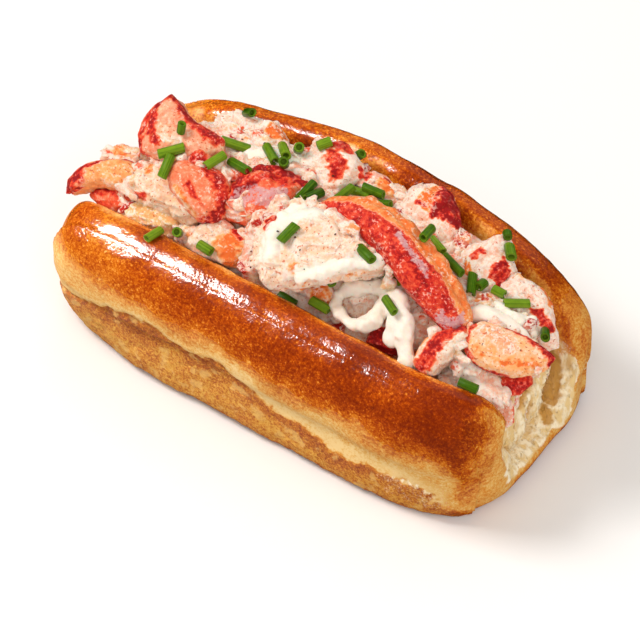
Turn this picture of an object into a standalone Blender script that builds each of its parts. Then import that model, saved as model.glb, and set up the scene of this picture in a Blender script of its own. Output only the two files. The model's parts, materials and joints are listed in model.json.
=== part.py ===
"""Lobster roll: a split-top brioche roll, its lobster salad and the larger pieces of lobster on top.

Frame: X runs along the roll, Y across it from the lower wall to the higher one, +Z up.
The origin is on the flat base, at its middle.
All sizes below are millimetres; MM turns them into Blender's metres.
"""

import math

import bmesh
import bpy
from mathutils import Vector, noise

MM = 0.001
GAP = 0.3  # kept between two pieces that touch

# The roll: its ends, its side seam, its crust and the trough along its top.
LEFT_END = -71.5
RIGHT_END = 74.5
NOSE_LENGTH = 8.0
NOSE_STEPS = (0.35, 0.62, 0.82, 0.94, 0.99)
NOSE_TIP = 0.12  # share of the wall's thickness that is left at the very tip
BODY_RINGS = 16
END_SKEW = 0.06  # the left end leans by this much of its width
SKEW_START = -30.0
SKEW_RUN = 40.0
SEAM_HEIGHT = 19.5
SEAM_DEPTH = 1.3
WIDEST_HEIGHT = 27.5
CRUST_BULGE = 1.7  # how far the crust swells past the toasted side band
CREST_SHARE = 0.62  # share of a wall's top that belongs to its outer arc
CREST_STEPS = 5
NEAR_WALL_TOP = 15.5
FAR_WALL_TOP = 12.0
RIM_DROP = 6.0  # height over which the top turns down into the trough
INNER_STEPS = 6
INNER_BULGE = 1.5
TROUGH_FLOOR = 7.5
TROUGH_CORNER = 2.0  # rise of the trough's lower corners over its floor
TROUGH_HALF_FLOOR = 8.0

# Stations of (x, size) along the roll. Widths run from the middle plane to the toasted side band.
NEAR_WIDTH = (
    (-73, 27.5), (-69, 31.5), (-60, 35.2), (-48, 36.3), (0, 36.4), (50, 36.2), (61, 34.6), (69, 32.0),
    (75, 28.0),
)
FAR_WIDTH = (
    (-73, 26.2), (-62, 29.7), (-48, 31.9), (-37, 33.7), (-21, 37.2), (4, 39.0), (24, 38.6), (39, 37.4),
    (50, 35.8), (63, 33.2), (70, 29.8), (75, 25.0),
)
NEAR_HEIGHT = (
    (-73, 25.0), (-69, 35.0), (-64, 40.5), (-57, 43.5), (-40, 44.2), (0, 44.5), (40, 44.2), (60, 43.8),
    (68, 42.0), (75, 34.0),
)
FAR_HEIGHT = (
    (-73, 27.0), (-68, 33.0), (-60, 41.0), (-53, 46.5), (-47, 49.6), (-40, 49.4), (-21, 51.2), (4, 51.5),
    (13, 49.8), (24, 50.0), (39, 48.0), (50, 45.0), (63, 38.0), (70, 30.0), (75, 21.5),
)
BASE_TUCK = (
    (-73, 8.5), (-63, 6.0), (-48, 2.8), (-36, 0.2), (-20, 0.0), (50, 0.0), (61, 0.8), (69, 3.0), (75, 5.0),
)

# The salad in the trough: its ends, and its height along the crown and where it meets each wall.
SALAD_START = -64.0
SALAD_END = 67.0
SALAD_GAP = 0.65
SALAD_LUMP = 2.2
SALAD_RINGS = 17
SALAD_STEPS = 8
SALAD_CREST = (
    (-64, 30.0), (-60, 36.0), (-54, 41.0), (-44, 45.5), (-30, 48.0), (-10, 50.0), (10, 53.0), (20, 53.5),
    (28, 52.0), (40, 47.5), (52, 42.0), (60, 35.0), (67, 22.0),
)
SALAD_NEAR = (
    (-64, 26.0), (-60, 31.0), (-50, 34.0), (-20, 33.0), (0, 34.0), (25, 31.5), (40, 31.0), (55, 30.0),
    (62, 25.0), (67, 18.0),
)
SALAD_FAR = (
    (-64, 25.0), (-58, 33.0), (-50, 39.0), (-30, 42.0), (0, 43.5), (30, 42.0), (50, 36.0), (60, 30.0),
    (67, 20.0),
)

ROLL_ROUGHNESS = 0.35
BIG_REACH = 11.0  # a broad piece that reaches further from its centre gets a finer edge
BROAD_RINGS = ((0.45, -1.0), (0.86, -0.62), (0.98, 0.1), (0.75, 0.76), (0.4, 0.97))  # scale, level upwards

CRUST = (0.62, 0.26, 0.07)
SALAD = (0.86, 0.66, 0.55)
RED = (0.75, 0.08, 0.03)
CRIMSON = (0.45, 0.02, 0.04)
ORANGE = (0.88, 0.33, 0.12)
PINK = (0.88, 0.5, 0.4)
CREAM = (0.9, 0.75, 0.55)
WHITE = (0.9, 0.74, 0.66)

# Broad pieces, each kept clear of the ones before it. "at" is the centre and "facing" the way the top looks.
# "outline" runs round the centre: its first axis lies as near to X as the facing allows. "crown" is how far
# the top rises over the outline, "depth" how far the piece reaches below it, "lump" how uneven it is.
CLAWS = (
    {"name": "claw_tip", "colour": RED, "at": (-45, -1, 60), "facing": (0.1, -0.62, 0.78),
     "crown": 3.5, "depth": 13.0, "lump": 0.35,
     "outline": ((-7.5, 8.5), (-3.5, 6.5), (1.5, 4.5), (11.5, 4), (14.5, 1), (11.5, -4), (1.5, -7.5),
                 (-4, -9.5), (-8, -10), (-10.5, -6.5), (-11.5, -2), (-10.5, 3.5))},
    {"name": "claw_body", "colour": RED, "at": (-30.5, -10, 53.5), "facing": (0.25, -0.52, 0.82),
     "crown": 5.0, "depth": 7.0, "lump": 0.5,
     "outline": ((-11.5, 3), (-7, 5.5), (4, 6), (8.5, 3), (8.5, -1.5), (7, -6), (3.5, -7.5), (-4.5, -5.5),
                 (-9, -3.5), (-11, -0.5))},
    {"name": "pincer", "colour": ORANGE, "at": (-62.5, -15, 45), "facing": (-0.1, -0.5, 0.86),
     "crown": 4.0, "depth": 4.5, "lump": 0.25,
     "outline": ((-6.5, -9), (-8, -6), (-7, -1.5), (-4, 2), (1, 5), (8.5, 8), (12, 4.5), (10, 0), (6, -1.5),
                 (1, -3), (-2.5, -5))},
    {"name": "knuckle", "colour": PINK, "at": (-46, -12.5, 48), "facing": (0.05, -0.5, 0.86),
     "crown": 4.5, "depth": 7.0, "lump": 0.8,
     "outline": ((-6, -3.5), (-7.5, 0.5), (-6, 4), (-2.5, 6.5), (2, 7), (13, -0.5), (18, -3), (9, -4),
                 (-1.5, -5.5))},
    {"name": "folded_claw", "colour": CRIMSON, "at": (-16.5, -2.5, 54), "facing": (0.15, -0.5, 0.85),
     "crown": 4.5, "depth": 9.0, "lump": 0.7,
     "outline": ((-8.5, -9.5), (-9, -4.5), (-8, 1.5), (-5.5, 5.5), (5, 8), (9.5, 8), (10.5, 4.5),
                 (6.5, -3.5), (2.5, -7.5), (-2, -10), (-6, -11))},
    {"name": "oval_slice", "colour": ORANGE, "at": (66.5, -5.5, 47.5), "facing": (0.3, -0.5, 0.81),
     "crown": 2.5, "depth": 6.5, "lump": 0.3,
     "outline": ((-12, -5), (-13, -1), (-11.5, 2), (-7.5, 4), (3.5, 5), (12.5, 4), (13, 1.5), (10.5, -2),
                 (5.5, -6), (0, -8), (-5, -8.5), (-9.5, -7.5))},
    {"name": "wedge", "colour": RED, "at": (51.5, -15, 45.5), "facing": (0.1, -0.6, 0.79),
     "crown": 3.0, "depth": 7.0, "lump": 0.4,
     "outline": ((-6, -7), (-6, -2.5), (-5.5, 1.5), (-3, 4.5), (3.5, 10), (5, 8), (3, -1), (0.5, -8),
                 (-3.5, -8))},
)
CHUNKS = (
    {"name": "cube_chunk", "colour": WHITE, "at": (23.5, 20, 52), "facing": (0.1, -0.42, 0.9),
     "crown": 4.5, "depth": 8.0, "lump": 1.0,
     "outline": ((-9.5, -5.5), (-8.5, 3.5), (-6.5, 6), (1, 8.5), (5, 6), (8.5, 1.5), (13.5, -3), (12, -6.5),
                 (-0.5, -6.5), (-6, -7))},
    {"name": "square_chunk", "colour": WHITE, "at": (45.5, 15, 48.5), "facing": (0.2, -0.42, 0.88),
     "crown": 4.0, "depth": 8.0, "lump": 0.9,
     "outline": ((-6.5, -4.5), (-8, 0.5), (-6.5, 4), (-3, 6.5), (-1.5, 10), (1.5, 11), (6, 3.5), (8.5, 2),
                 (7.5, -2.5), (3, -8.5), (-3, -6.5))},
    {"name": "end_chunk", "colour": WHITE, "at": (61, 11.5, 44.5), "facing": (0.25, -0.42, 0.87),
     "crown": 3.5, "depth": 8.0, "lump": 1.0,
     "outline": ((-9.5, -2), (-9, 3.5), (-6.5, 7), (1.5, 7), (5.5, 4.5), (13, -4.5), (13, -8), (5.5, -6.5),
                 (-6.5, -5))},
    {"name": "white_chunk", "colour": WHITE, "at": (-33, 15.5, 51.5), "facing": (0, -0.35, 0.94),
     "crown": 4.0, "depth": 7.0, "lump": 1.0,
     "outline": ((-12, -3), (-11.5, 1), (-8.5, 4.5), (0.5, 5), (2.5, 7), (6.5, 6), (15, 0), (9, -3.5),
                 (-3.5, -7.5), (-8, -5.5))},
    {"name": "speckled_chunk", "colour": WHITE, "at": (-6.5, 15.5, 54), "facing": (0.05, -0.35, 0.93),
     "crown": 4.5, "depth": 8.0, "lump": 1.0,
     "outline": ((-9.5, -7), (-9.5, -2), (-8, 2), (-8.5, 6.5), (-7, 8), (-4.5, 6.5), (-1, 9), (3.5, 7.5),
                 (8.5, 5.5), (9.5, 1), (5, -8), (-5, -9.5))},
    {"name": "striped_meat", "colour": PINK, "at": (7.5, 20, 51.5), "facing": (0.1, -0.35, 0.93),
     "crown": 3.5, "depth": 7.0, "lump": 0.7,
     "outline": ((-7.5, -3.5), (-7.5, 0.5), (-4.5, 3), (0.5, 3.5), (10, 0.5), (8, -3.5), (2, -5))},
    {"name": "dressed_mass", "colour": PINK, "at": (8, -12, 56), "facing": (0.08, -0.5, 0.86),
     "crown": 6.0, "depth": 8.0, "lump": 1.0,
     "outline": ((-13.5, -12.5), (-16, -7.5), (-17.5, -2), (-15, 3), (-11.5, 7), (-5.5, 10.5), (1.5, 10.5),
                 (15.5, 7.5), (21.5, 5), (17, 0.5), (7, -7.5), (2.5, -12), (-3.5, -13.5), (-8.5, -15.5))},
    {"name": "middle_chunk", "colour": WHITE, "at": (35, 13, 47.5), "facing": (0.15, -0.45, 0.88),
     "crown": 2.5, "depth": 6.0, "lump": 0.7,
     "outline": ((-10.5, 2.5), (-6, 5), (1, 5), (6, 1.5), (11, -3), (8, -4.5), (-3.5, -1.5))},
    {"name": "white_mass", "colour": WHITE, "at": (-23.5, 8, 53), "facing": (0.05, -0.4, 0.91),
     "crown": 3.5, "depth": 7.0, "lump": 0.9,
     "outline": ((-10, -5.5), (-11, -1.5), (-6.5, 2), (0, 5), (7, 6.5), (12, 5), (14, 1), (3, -4),
                 (-1, -6.5), (-4, -8))},
    {"name": "near_chunk", "colour": PINK, "at": (-21.5, -16, 43.5), "facing": (0.1, -0.5, 0.86),
     "crown": 4.5, "depth": 7.0, "lump": 0.9,
     "outline": ((-8.5, -4.5), (-7.5, 0.5), (-4.5, 7), (0, 5), (5.5, 5.5), (10, 4), (10.5, 0), (7.5, -4),
                 (3.5, -5.5), (-5.5, -5))},
    {"name": "flaky_meat", "colour": CREAM, "at": (-43.5, -16.5, 41.5), "facing": (0, -0.45, 0.89),
     "crown": 3.5, "depth": 6.0, "lump": 0.6,
     "outline": ((-8, -4.5), (-6.5, 2), (-3, 4.5), (2, 5), (10.5, 1.5), (5.5, -4), (-4, -4.5))},
    {"name": "shredded_meat", "colour": WHITE, "at": (61, -13.5, 34.5), "facing": (0.2, -0.5, 0.84),
     "crown": 3.5, "depth": 6.5, "lump": 1.0,
     "outline": ((-10.5, -2.5), (-5.5, 4.5), (-2.5, 6), (8, 4.5), (9, -2.5), (-0.5, -3.5), (-5.5, -4))},
    {"name": "under_pincer", "colour": PINK, "at": (-57, -17, 40), "facing": (-0.1, -0.5, 0.86),
     "crown": 2.5, "depth": 5.5, "lump": 0.7,
     "outline": ((-6.5, -1.5), (-5.5, 1.5), (-2, 4), (3, 5), (7, 2.5), (6.5, -1), (-1.5, -3))},
    {"name": "back_chunk", "colour": PINK, "at": (-60, -6, 44.5), "facing": (-0.2, -0.3, 0.93),
     "crown": 2.5, "depth": 7.0, "lump": 0.6,
     "outline": ((-4.5, -4.5), (-6.5, -0.5), (-5.5, 2.5), (3, 4.5), (7, 0.5), (3, -3.5))},
    {"name": "under_slice", "colour": RED, "at": (70, -6.5, 35.5), "facing": (0.4, -0.5, 0.76),
     "crown": 2.0, "depth": 6.0, "lump": 0.5,
     "outline": ((-4, -4.5), (-5, -0.5), (-2.5, 2.5), (0.5, 4.5), (4, 3.5), (1, -3))},
    {"name": "low_pink", "colour": PINK, "at": (67.5, -9, 27), "facing": (0.4, -0.5, 0.76),
     "crown": 1.5, "depth": 5.0, "lump": 0.4,
     "outline": ((-5, 0.5), (-3.5, 3.5), (0.5, 3), (4.5, -2.5), (2, -4), (-3, -3))},
    {"name": "red_shelf", "colour": CRIMSON, "at": (34, -16.5, 39.5), "facing": (0.1, -0.5, 0.86),
     "crown": 2.5, "depth": 5.0, "lump": 0.5,
     "outline": ((-4.5, -2.5), (-4.5, 1.5), (-1.5, 4.5), (3, 4), (5.5, 0.5), (4.5, -2.5))},
    {"name": "orange_chunk", "colour": ORANGE, "at": (9, -15, 41.5), "facing": (0, -0.5, 0.86),
     "crown": 2.5, "depth": 5.5, "lump": 0.7,
     "outline": ((-4.5, -1), (-5, 2.5), (-2, 5.5), (3, 6), (7, 3.5), (7, -1), (4, -3.5))},
    {"name": "dark_chunk", "colour": CRIMSON, "at": (-13, -15.5, 42), "facing": (0.3, -0.5, 0.81),
     "crown": 2.0, "depth": 5.0, "lump": 0.5,
     "outline": ((-2.5, -3), (-3.5, 2), (-1, 5), (2, 5), (4, 1), (2.5, -3))},
    {"name": "white_bits", "colour": WHITE, "at": (-33.5, -15.5, 40.5), "facing": (0, -0.45, 0.89),
     "crown": 2.5, "depth": 5.0, "lump": 0.7,
     "outline": ((-4.5, -2), (-4, 0.5), (-0.5, 3), (3, 3.5), (4.5, 1), (2, -2.5))},
)

# Long pieces, swept along stations of (x, y, z, half width, half height).
CURVED_LEG = {
    "name": "curved_leg", "colour": RED, "closed": False, "sides": 10,
    "stations": ((4.5, 0, 59, 3.6, 3.4), (12, 1.5, 60.5, 5.0, 4.6), (20.5, 0.5, 61.5, 5.5, 5.0),
                 (29, -2, 60, 5.6, 5.0), (37, -4.5, 57, 5.6, 4.8), (44.5, -6, 53, 5.2, 4.6),
                 (50.5, -7, 49, 4.0, 4.0)),
}
STRANDS = (
    {"name": "strand_loop", "colour": CREAM, "closed": True, "sides": 7,
     "stations": ((17, -14, 44.5, 2.2, 2.2), (20, -11.5, 47.5, 2.3, 2.3), (27, -11, 48.5, 2.6, 2.5),
                  (32.5, -13.5, 47.5, 2.6, 2.6), (32, -18, 45, 2.6, 2.5), (28, -20.5, 43.2, 2.5, 2.4),
                  (22.5, -19.5, 43.2, 2.3, 2.3), (18.5, -17, 43.6, 2.2, 2.2))},
    {"name": "strand_arm", "colour": CREAM, "closed": False, "sides": 7,
     "stations": ((33, -10, 50, 2.4, 2.2), (38, -11.5, 49.5, 3.2, 2.8), (41, -14.5, 47, 3.2, 2.8),
                  (42, -18, 43.5, 2.6, 2.4), (43, -20.5, 41.5, 3.0, 2.0))},
    {"name": "cream_strand", "colour": CREAM, "closed": False, "sides": 7,
     "stations": ((51, -2, 47.5, 2.2, 2.0), (54.5, 0.5, 48, 2.6, 2.2), (60, 1.5, 47.5, 2.4, 2.2),
                  (66, 1.5, 45.5, 2.2, 2.0), (70, 0.5, 43, 1.4, 1.4))},
)


def clear_scene():
    for old in list(bpy.data.objects):
        bpy.data.objects.remove(old, do_unlink=True)


def make_material(name, colour, roughness):
    material = bpy.data.materials.new(name)
    material.use_nodes = True
    shader = material.node_tree.nodes["Principled BSDF"]
    shader.inputs["Base Color"].default_value = (*colour, 1.0)
    shader.inputs["Roughness"].default_value = roughness
    shader.inputs["Metallic"].default_value = 0.0
    material.diffuse_color = (*colour, 1.0)
    return material


def turn_outwards(shell):
    bmesh.ops.recalc_face_normals(shell, faces=shell.faces)
    if shell.calc_volume(signed=True) < 0:
        bmesh.ops.reverse_faces(shell, faces=shell.faces)


def new_object(name, points, faces, colour, roughness=0.4):
    """A mesh object of plain triangles from points in millimetres, facing outwards, in its own material."""
    mesh = bpy.data.meshes.new(name)
    mesh.from_pydata([Vector(p) * MM for p in points], [], faces)
    shell = bmesh.new()
    shell.from_mesh(mesh)
    turn_outwards(shell)
    bmesh.ops.triangulate(shell, faces=shell.faces)
    shell.to_mesh(mesh)
    shell.free()
    mesh.shade_smooth()
    mesh.set_sharp_from_angle(angle=math.radians(40))
    mesh.materials.append(make_material(name, colour, roughness))
    made = bpy.data.objects.new(name, mesh)
    bpy.context.scene.collection.objects.link(made)
    return made


def along(stations, x):
    """Smooth value at x through the stations, flat outside them."""
    if x <= stations[0][0]:
        return stations[0][1]
    for k in range(len(stations) - 1):
        (xa, va), (xb, vb) = stations[k], stations[k + 1]
        if x <= xb:
            before = stations[max(k - 1, 0)]
            after = stations[min(k + 2, len(stations) - 1)]
            slope_a = (vb - before[1]) / (xb - before[0])
            slope_b = (after[1] - va) / (after[0] - xa)
            t = (x - xa) / (xb - xa)
            return (
                (2 * t**3 - 3 * t**2 + 1) * va
                + (t**3 - 2 * t**2 + t) * slope_a * (xb - xa)
                + (3 * t**2 - 2 * t**3) * vb
                + (t**3 - t**2) * slope_b * (xb - xa)
            )
    return stations[-1][1]


def skin(rings, closed=False):
    """Points and faces of a skin over rings of equal length, closed on itself or with a fan over each end."""
    count = len(rings[0])
    points = [p for ring in rings for p in ring]
    faces = []
    for row in range(len(rings) if closed else len(rings) - 1):
        here, there = row * count, (row + 1) % len(rings) * count
        for k in range(count):
            after = (k + 1) % count
            faces.append((here + k, here + after, there + after, there + k))
    if closed:
        return points, faces
    for row in (0, len(rings) - 1):
        points.append(sum((Vector(p) for p in rings[row]), Vector()) / count)
        for k in range(count):
            faces.append((row * count + k, row * count + (k + 1) % count, len(points) - 1))
    return points, faces


# The roll: rings across it, each along the outside from the near crest to the far one and back inside.


def side_chains(width, height, wall_top, tuck):
    """Outer and inner outline of one wall, from its crest to the middle of the base, paired by point."""
    reach = wall_top * CREST_SHARE + CRUST_BULGE
    rise = height - WIDEST_HEIGHT
    middle = width + CRUST_BULGE - reach
    outer = []
    for step in range(CREST_STEPS):
        angle = math.radians(90 * (1 - step / (CREST_STEPS - 1)))
        outer.append((middle + reach * math.cos(angle), WIDEST_HEIGHT + rise * math.sin(angle)))
    outer += [
        (width + CRUST_BULGE * 0.8, SEAM_HEIGHT + 3.4),
        (width + CRUST_BULGE * 0.25, SEAM_HEIGHT + 1.2),
        (width - SEAM_DEPTH, SEAM_HEIGHT),
        (width - SEAM_DEPTH * 0.4 - tuck * 0.1, SEAM_HEIGHT - 4.0),
        (width - tuck * 0.5, SEAM_HEIGHT * 0.4),
        (width - 0.5 - tuck * 0.9, 2.2),
        (width - 2.6 - tuck, 0.0),
        (width * 0.55, 0.0),
        (width * 0.25, 0.0),
        (0.0, 0.0),
    ]
    top = max(width - wall_top, 2.0)
    floor = min(TROUGH_HALF_FLOOR, top * 0.8)
    inner = [(middle - 0.6, height - 0.1), (top + 1.6, height - 0.9), (top + 0.3, height - 2.8)]
    shoulder, corner = height - RIM_DROP, TROUGH_FLOOR + TROUGH_CORNER
    for step in range(INNER_STEPS):
        t = step / (INNER_STEPS - 1)
        y = top + (floor - top) * t**1.3 + math.sin(math.pi * t) * INNER_BULGE
        inner.append((y, shoulder + (corner - shoulder) * t))
    for share, rise in ((0.9, 1.4), (0.8, 1.0), (0.7, 0.7), (0.5, 0.3), (0.3, 0.1)):
        inner.append((floor * share, TROUGH_FLOOR + rise))
    inner.append((0.0, TROUGH_FLOOR))
    return outer, inner


def roll_section(x):
    near_outer, near_inner = side_chains(
        along(NEAR_WIDTH, x), along(NEAR_HEIGHT, x), NEAR_WALL_TOP, along(BASE_TUCK, x)
    )
    far_outer, far_inner = side_chains(
        along(FAR_WIDTH, x), along(FAR_HEIGHT, x), FAR_WALL_TOP, along(BASE_TUCK, x) * 0.6
    )
    outer = [(-y, z) for y, z in near_outer] + far_outer[-2::-1]
    inner = [(-y, z) for y, z in near_inner] + far_inner[-2::-1]
    past = max(x - (RIGHT_END - NOSE_LENGTH), (LEFT_END + NOSE_LENGTH) - x, 0.0) / NOSE_LENGTH
    keep = max(NOSE_TIP, math.sqrt(max(0.0, 1.0 - past**2)))  # the walls thin out into rounded noses
    left = min(max((SKEW_START - x) / SKEW_RUN, 0.0), 1.0)
    skew = END_SKEW * left * left * (3.0 - 2.0 * left)
    outside, inside = [], []
    for (oy, oz), (iy, iz) in zip(outer, inner):
        my, mz = (oy + iy) / 2, (oz + iz) / 2
        outside.append((x - skew * oy, my + (oy - my) * keep, mz + (oz - mz) * keep))
        inside.append((x - skew * iy, my + (iy - my) * keep, mz + (iz - mz) * keep))
    return outside + inside[::-1]


def make_roll():
    first, last = LEFT_END + NOSE_LENGTH, RIGHT_END - NOSE_LENGTH
    body = [first + (last - first) * k / (BODY_RINGS - 1) for k in range(BODY_RINGS)]
    nose = [NOSE_LENGTH * share for share in NOSE_STEPS]
    stations = [first - n for n in reversed(nose)] + body + [last + n for n in nose]
    rings = [roll_section(x) for x in stations]
    count = len(rings[0])
    points, faces = skin(rings, closed=True)
    faces = faces[: (len(rings) - 1) * count]
    for row in (0, len(rings) - 1):
        for k in range(count // 2 - 1):
            outside, inside = row * count + k, row * count + count - 1 - k
            faces.append((outside, outside + 1, inside - 1, inside))
    return new_object("roll", points, faces, CRUST, ROLL_ROUGHNESS)


def wall_at(wall, z):
    """How far from the middle plane the inside of a wall lies at height z."""
    for (ya, za), (yb, zb) in zip(wall, wall[1:]):
        if zb <= z <= za:
            return ya + (yb - ya) * (za - z) / (za - zb)
    return wall[0][0]


def salad_section(x):
    """Ring of the salad at x: down the near wall, along the floor, up the far wall and back over it."""
    sides = []
    for widths, heights, wall_top, levels in (
        (NEAR_WIDTH, NEAR_HEIGHT, NEAR_WALL_TOP, SALAD_NEAR),
        (FAR_WIDTH, FAR_HEIGHT, FAR_WALL_TOP, SALAD_FAR),
    ):
        wall = side_chains(along(widths, x), along(heights, x), wall_top, 0.0)[1][3 : 3 + INNER_STEPS]
        top = min(along(levels, x), wall[0][1])
        side = []
        for share in (0.0, 0.3, 0.6, 0.85):
            z = top + (TROUGH_FLOOR + TROUGH_CORNER - top) * share
            side.append((wall_at(wall, z) - SALAD_GAP, z))
        side.append((TROUGH_HALF_FLOOR * 0.5, TROUGH_FLOOR + SALAD_GAP + 0.6))
        sides.append(side)
    near, far = sides
    ring = [(x, -y, z) for y, z in near] + [(x, y, z) for y, z in reversed(far)]
    crest = along(SALAD_CREST, x)
    for step in range(1, SALAD_STEPS):
        t = step / SALAD_STEPS
        arc = math.sin(math.pi * t) ** 0.8
        edge = far[0][1] + (near[0][1] - far[0][1]) * t
        lump = noise.noise(Vector((x * 0.12, t * 4.0, 3.0))) * SALAD_LUMP * arc
        ring.append((x, far[0][0] - (near[0][0] + far[0][0]) * t, edge + (crest - edge) * arc + lump))
    return ring


def make_salad():
    length = SALAD_END - SALAD_START
    rings = [salad_section(SALAD_START + length * k / (SALAD_RINGS - 1)) for k in range(SALAD_RINGS)]
    return new_object("lobster_salad", *skin(rings), SALAD)


# The pieces of lobster.


def resample(outline, count):
    """The closed outline as evenly spaced points, the first of them its first corner."""
    corners = [Vector(p) for p in outline]
    following = corners[1:] + corners[:1]
    lengths = [(b - a).length for a, b in zip(corners, following)]
    points = []
    for step in range(count):
        run, k = sum(lengths) * step / count, 0
        while run > lengths[k]:
            run -= lengths[k]
            k += 1
        points.append(corners[k].lerp(following[k], run / lengths[k]))
    return points


def lump_at(point):
    """A smooth noise vector, the same on every run."""
    shifts = ((0, 0, 0), (17.3, 5.1, -8.7), (-9.4, 21.6, 13.2))
    return Vector([noise.noise(point + Vector(shift)) for shift in shifts])


def make_broad(piece):
    """A low domed body over the outline, with a rounded underside."""
    up = Vector(piece["facing"]).normalized()
    first = (Vector((1, 0, 0)) - up * up.x).normalized()
    second = up.cross(first)
    reach = max(math.hypot(*p) for p in piece["outline"])
    edge = resample(piece["outline"], 14 if reach > BIG_REACH else 12)
    middle = sum(edge, Vector((0, 0))) / len(edge)
    rings = []
    for scale, level in BROAD_RINGS:
        height = level * (piece["crown"] if level > 0 else piece["depth"])
        ring = []
        for p in edge:
            flat = middle + (p - middle) * scale
            point = Vector(piece["at"]) + first * flat.x + second * flat.y + up * height
            ring.append(point + (lump_at(point * 0.21) + lump_at(point * 0.5) * 0.5) * piece["lump"])
        rings.append(ring)
    return new_object(piece["name"], *skin(rings), piece["colour"])


def make_long(piece):
    """A round-sided body swept along its stations."""
    stations, closed = piece["stations"], piece["closed"]
    points = [Vector(s[:3]) for s in stations]
    last = len(points) - 1
    rings = []
    for k, (here, station) in enumerate(zip(points, stations)):
        before = points[k - 1] if k or closed else here
        after = points[(k + 1) % len(points)] if k < last or closed else here
        run = (after - before).normalized()
        across = Vector((0, 0, 1)).cross(run).normalized()
        up = run.cross(across)
        ring = []
        for side in range(piece["sides"]):
            angle = 2 * math.pi * side / piece["sides"]
            ring.append(here + across * (station[3] * math.cos(angle)) + up * (station[4] * math.sin(angle)))
        rounded = station[3] * 0.6
        if not closed and k == 0:
            rings.append([p.lerp(here, 0.45) - run * rounded for p in ring])
        rings.append(ring)
        if not closed and k == last:
            rings.append([p.lerp(here, 0.45) + run * rounded for p in ring])
    return new_object(piece["name"], *skin(rings, closed), piece["colour"])


# Keeping the pieces apart.


def box_of(thing):
    corners = [v.co for v in thing.data.vertices]
    return [(min(c[k] for c in corners), max(c[k] for c in corners)) for k in range(3)]


def boxes_meet(a, b):
    return all(low_a < high_b and low_b < high_a for (low_a, high_a), (low_b, high_b) in zip(a, b))


def cutter_of(thing):
    """A hidden copy, grown by the gap."""
    grown = thing.copy()
    grown.data = thing.data.copy()
    grown.name = thing.name + "_cutter"
    bpy.context.scene.collection.objects.link(grown)
    grown.hide_render = True
    grown.display_type = "WIRE"
    shell = bmesh.new()
    shell.from_mesh(grown.data)
    shell.normal_update()
    for v in shell.verts:
        v.co += v.normal * (GAP * MM * min(v.calc_shell_factor(), 1.6))
    shell.to_mesh(grown.data)
    shell.free()
    return grown


def cut(thing, cutter):
    boolean = thing.modifiers.new("keep_apart", "BOOLEAN")
    boolean.operation = "DIFFERENCE"
    boolean.solver = "EXACT"
    boolean.object = cutter
    graph = bpy.context.evaluated_depsgraph_get()
    thing.data = bpy.data.meshes.new_from_object(thing.evaluated_get(graph))
    thing.modifiers.clear()


def islands_of(shell):
    """The vertices of each connected part, the smallest part first."""
    left, islands = set(shell.verts), []
    while left:
        island, front = [], [left.pop()]
        while front:
            vertex = front.pop()
            island.append(vertex)
            for edge in vertex.link_edges:
                other = edge.other_vert(vertex)
                if other in left:
                    left.discard(other)
                    front.append(other)
        islands.append(island)
    return sorted(islands, key=len)


def tidy_cut(thing):
    """Merges slivers and keeps the largest part as plain triangles."""
    shell = bmesh.new()
    shell.from_mesh(thing.data)
    bmesh.ops.remove_doubles(shell, verts=shell.verts, dist=0.02 * MM)
    bmesh.ops.dissolve_degenerate(shell, dist=0.02 * MM, edges=shell.edges)
    for island in islands_of(shell)[:-1]:
        bmesh.ops.delete(shell, geom=island, context="VERTS")
    bmesh.ops.triangulate(shell, faces=shell.faces)
    turn_outwards(shell)
    shell.to_mesh(thing.data)
    shell.free()
    thing.data.shade_smooth()
    thing.data.set_sharp_from_angle(angle=math.radians(40))


def keep_apart(fixed, pieces):
    """Cuts each piece by the fixed things and by the pieces before it."""
    cutters = [cutter_of(thing) for thing in fixed]
    for piece in pieces:
        for cutter in cutters:
            if boxes_meet(box_of(piece), box_of(cutter)):
                cut(piece, cutter)
            if not piece.data.vertices:
                raise ValueError(f"{piece.name} lies wholly inside {cutter.name}")
        tidy_cut(piece)
        cutters.append(cutter_of(piece))
    for cutter in cutters:
        bpy.data.objects.remove(cutter, do_unlink=True)


def main():
    clear_scene()
    fixed = [make_roll(), make_salad()]
    pieces = [make_long(CURVED_LEG)]
    pieces += [make_broad(piece) for piece in CLAWS + CHUNKS[:6]]
    pieces += [make_long(piece) for piece in STRANDS]
    pieces += [make_broad(piece) for piece in CHUNKS[6:]]
    keep_apart(fixed, pieces)


main()
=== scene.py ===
import json
import math
import random

import bpy
import numpy as np
from mathutils import Matrix, Vector, noise
from mathutils.bvhtree import BVHTree
from mathutils.kdtree import KDTree


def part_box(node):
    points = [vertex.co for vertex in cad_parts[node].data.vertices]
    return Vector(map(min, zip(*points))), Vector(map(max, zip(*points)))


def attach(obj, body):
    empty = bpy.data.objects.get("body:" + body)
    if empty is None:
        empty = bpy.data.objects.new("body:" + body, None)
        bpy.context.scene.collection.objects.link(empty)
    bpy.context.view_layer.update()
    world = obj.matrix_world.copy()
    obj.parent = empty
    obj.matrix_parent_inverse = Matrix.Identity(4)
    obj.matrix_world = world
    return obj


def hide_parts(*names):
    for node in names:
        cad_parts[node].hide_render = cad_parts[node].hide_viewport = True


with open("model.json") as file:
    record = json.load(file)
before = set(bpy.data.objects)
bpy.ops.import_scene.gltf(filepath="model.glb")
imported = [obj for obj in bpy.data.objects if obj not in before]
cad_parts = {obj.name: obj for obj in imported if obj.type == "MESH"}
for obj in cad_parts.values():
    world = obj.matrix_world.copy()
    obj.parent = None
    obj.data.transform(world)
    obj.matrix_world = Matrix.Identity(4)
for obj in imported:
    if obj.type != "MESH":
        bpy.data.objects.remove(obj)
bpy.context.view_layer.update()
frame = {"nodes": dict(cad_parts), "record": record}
mm = 0.001
overAll = 90  # a height above everything, in millimetres
fullTurn = 6.28
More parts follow.
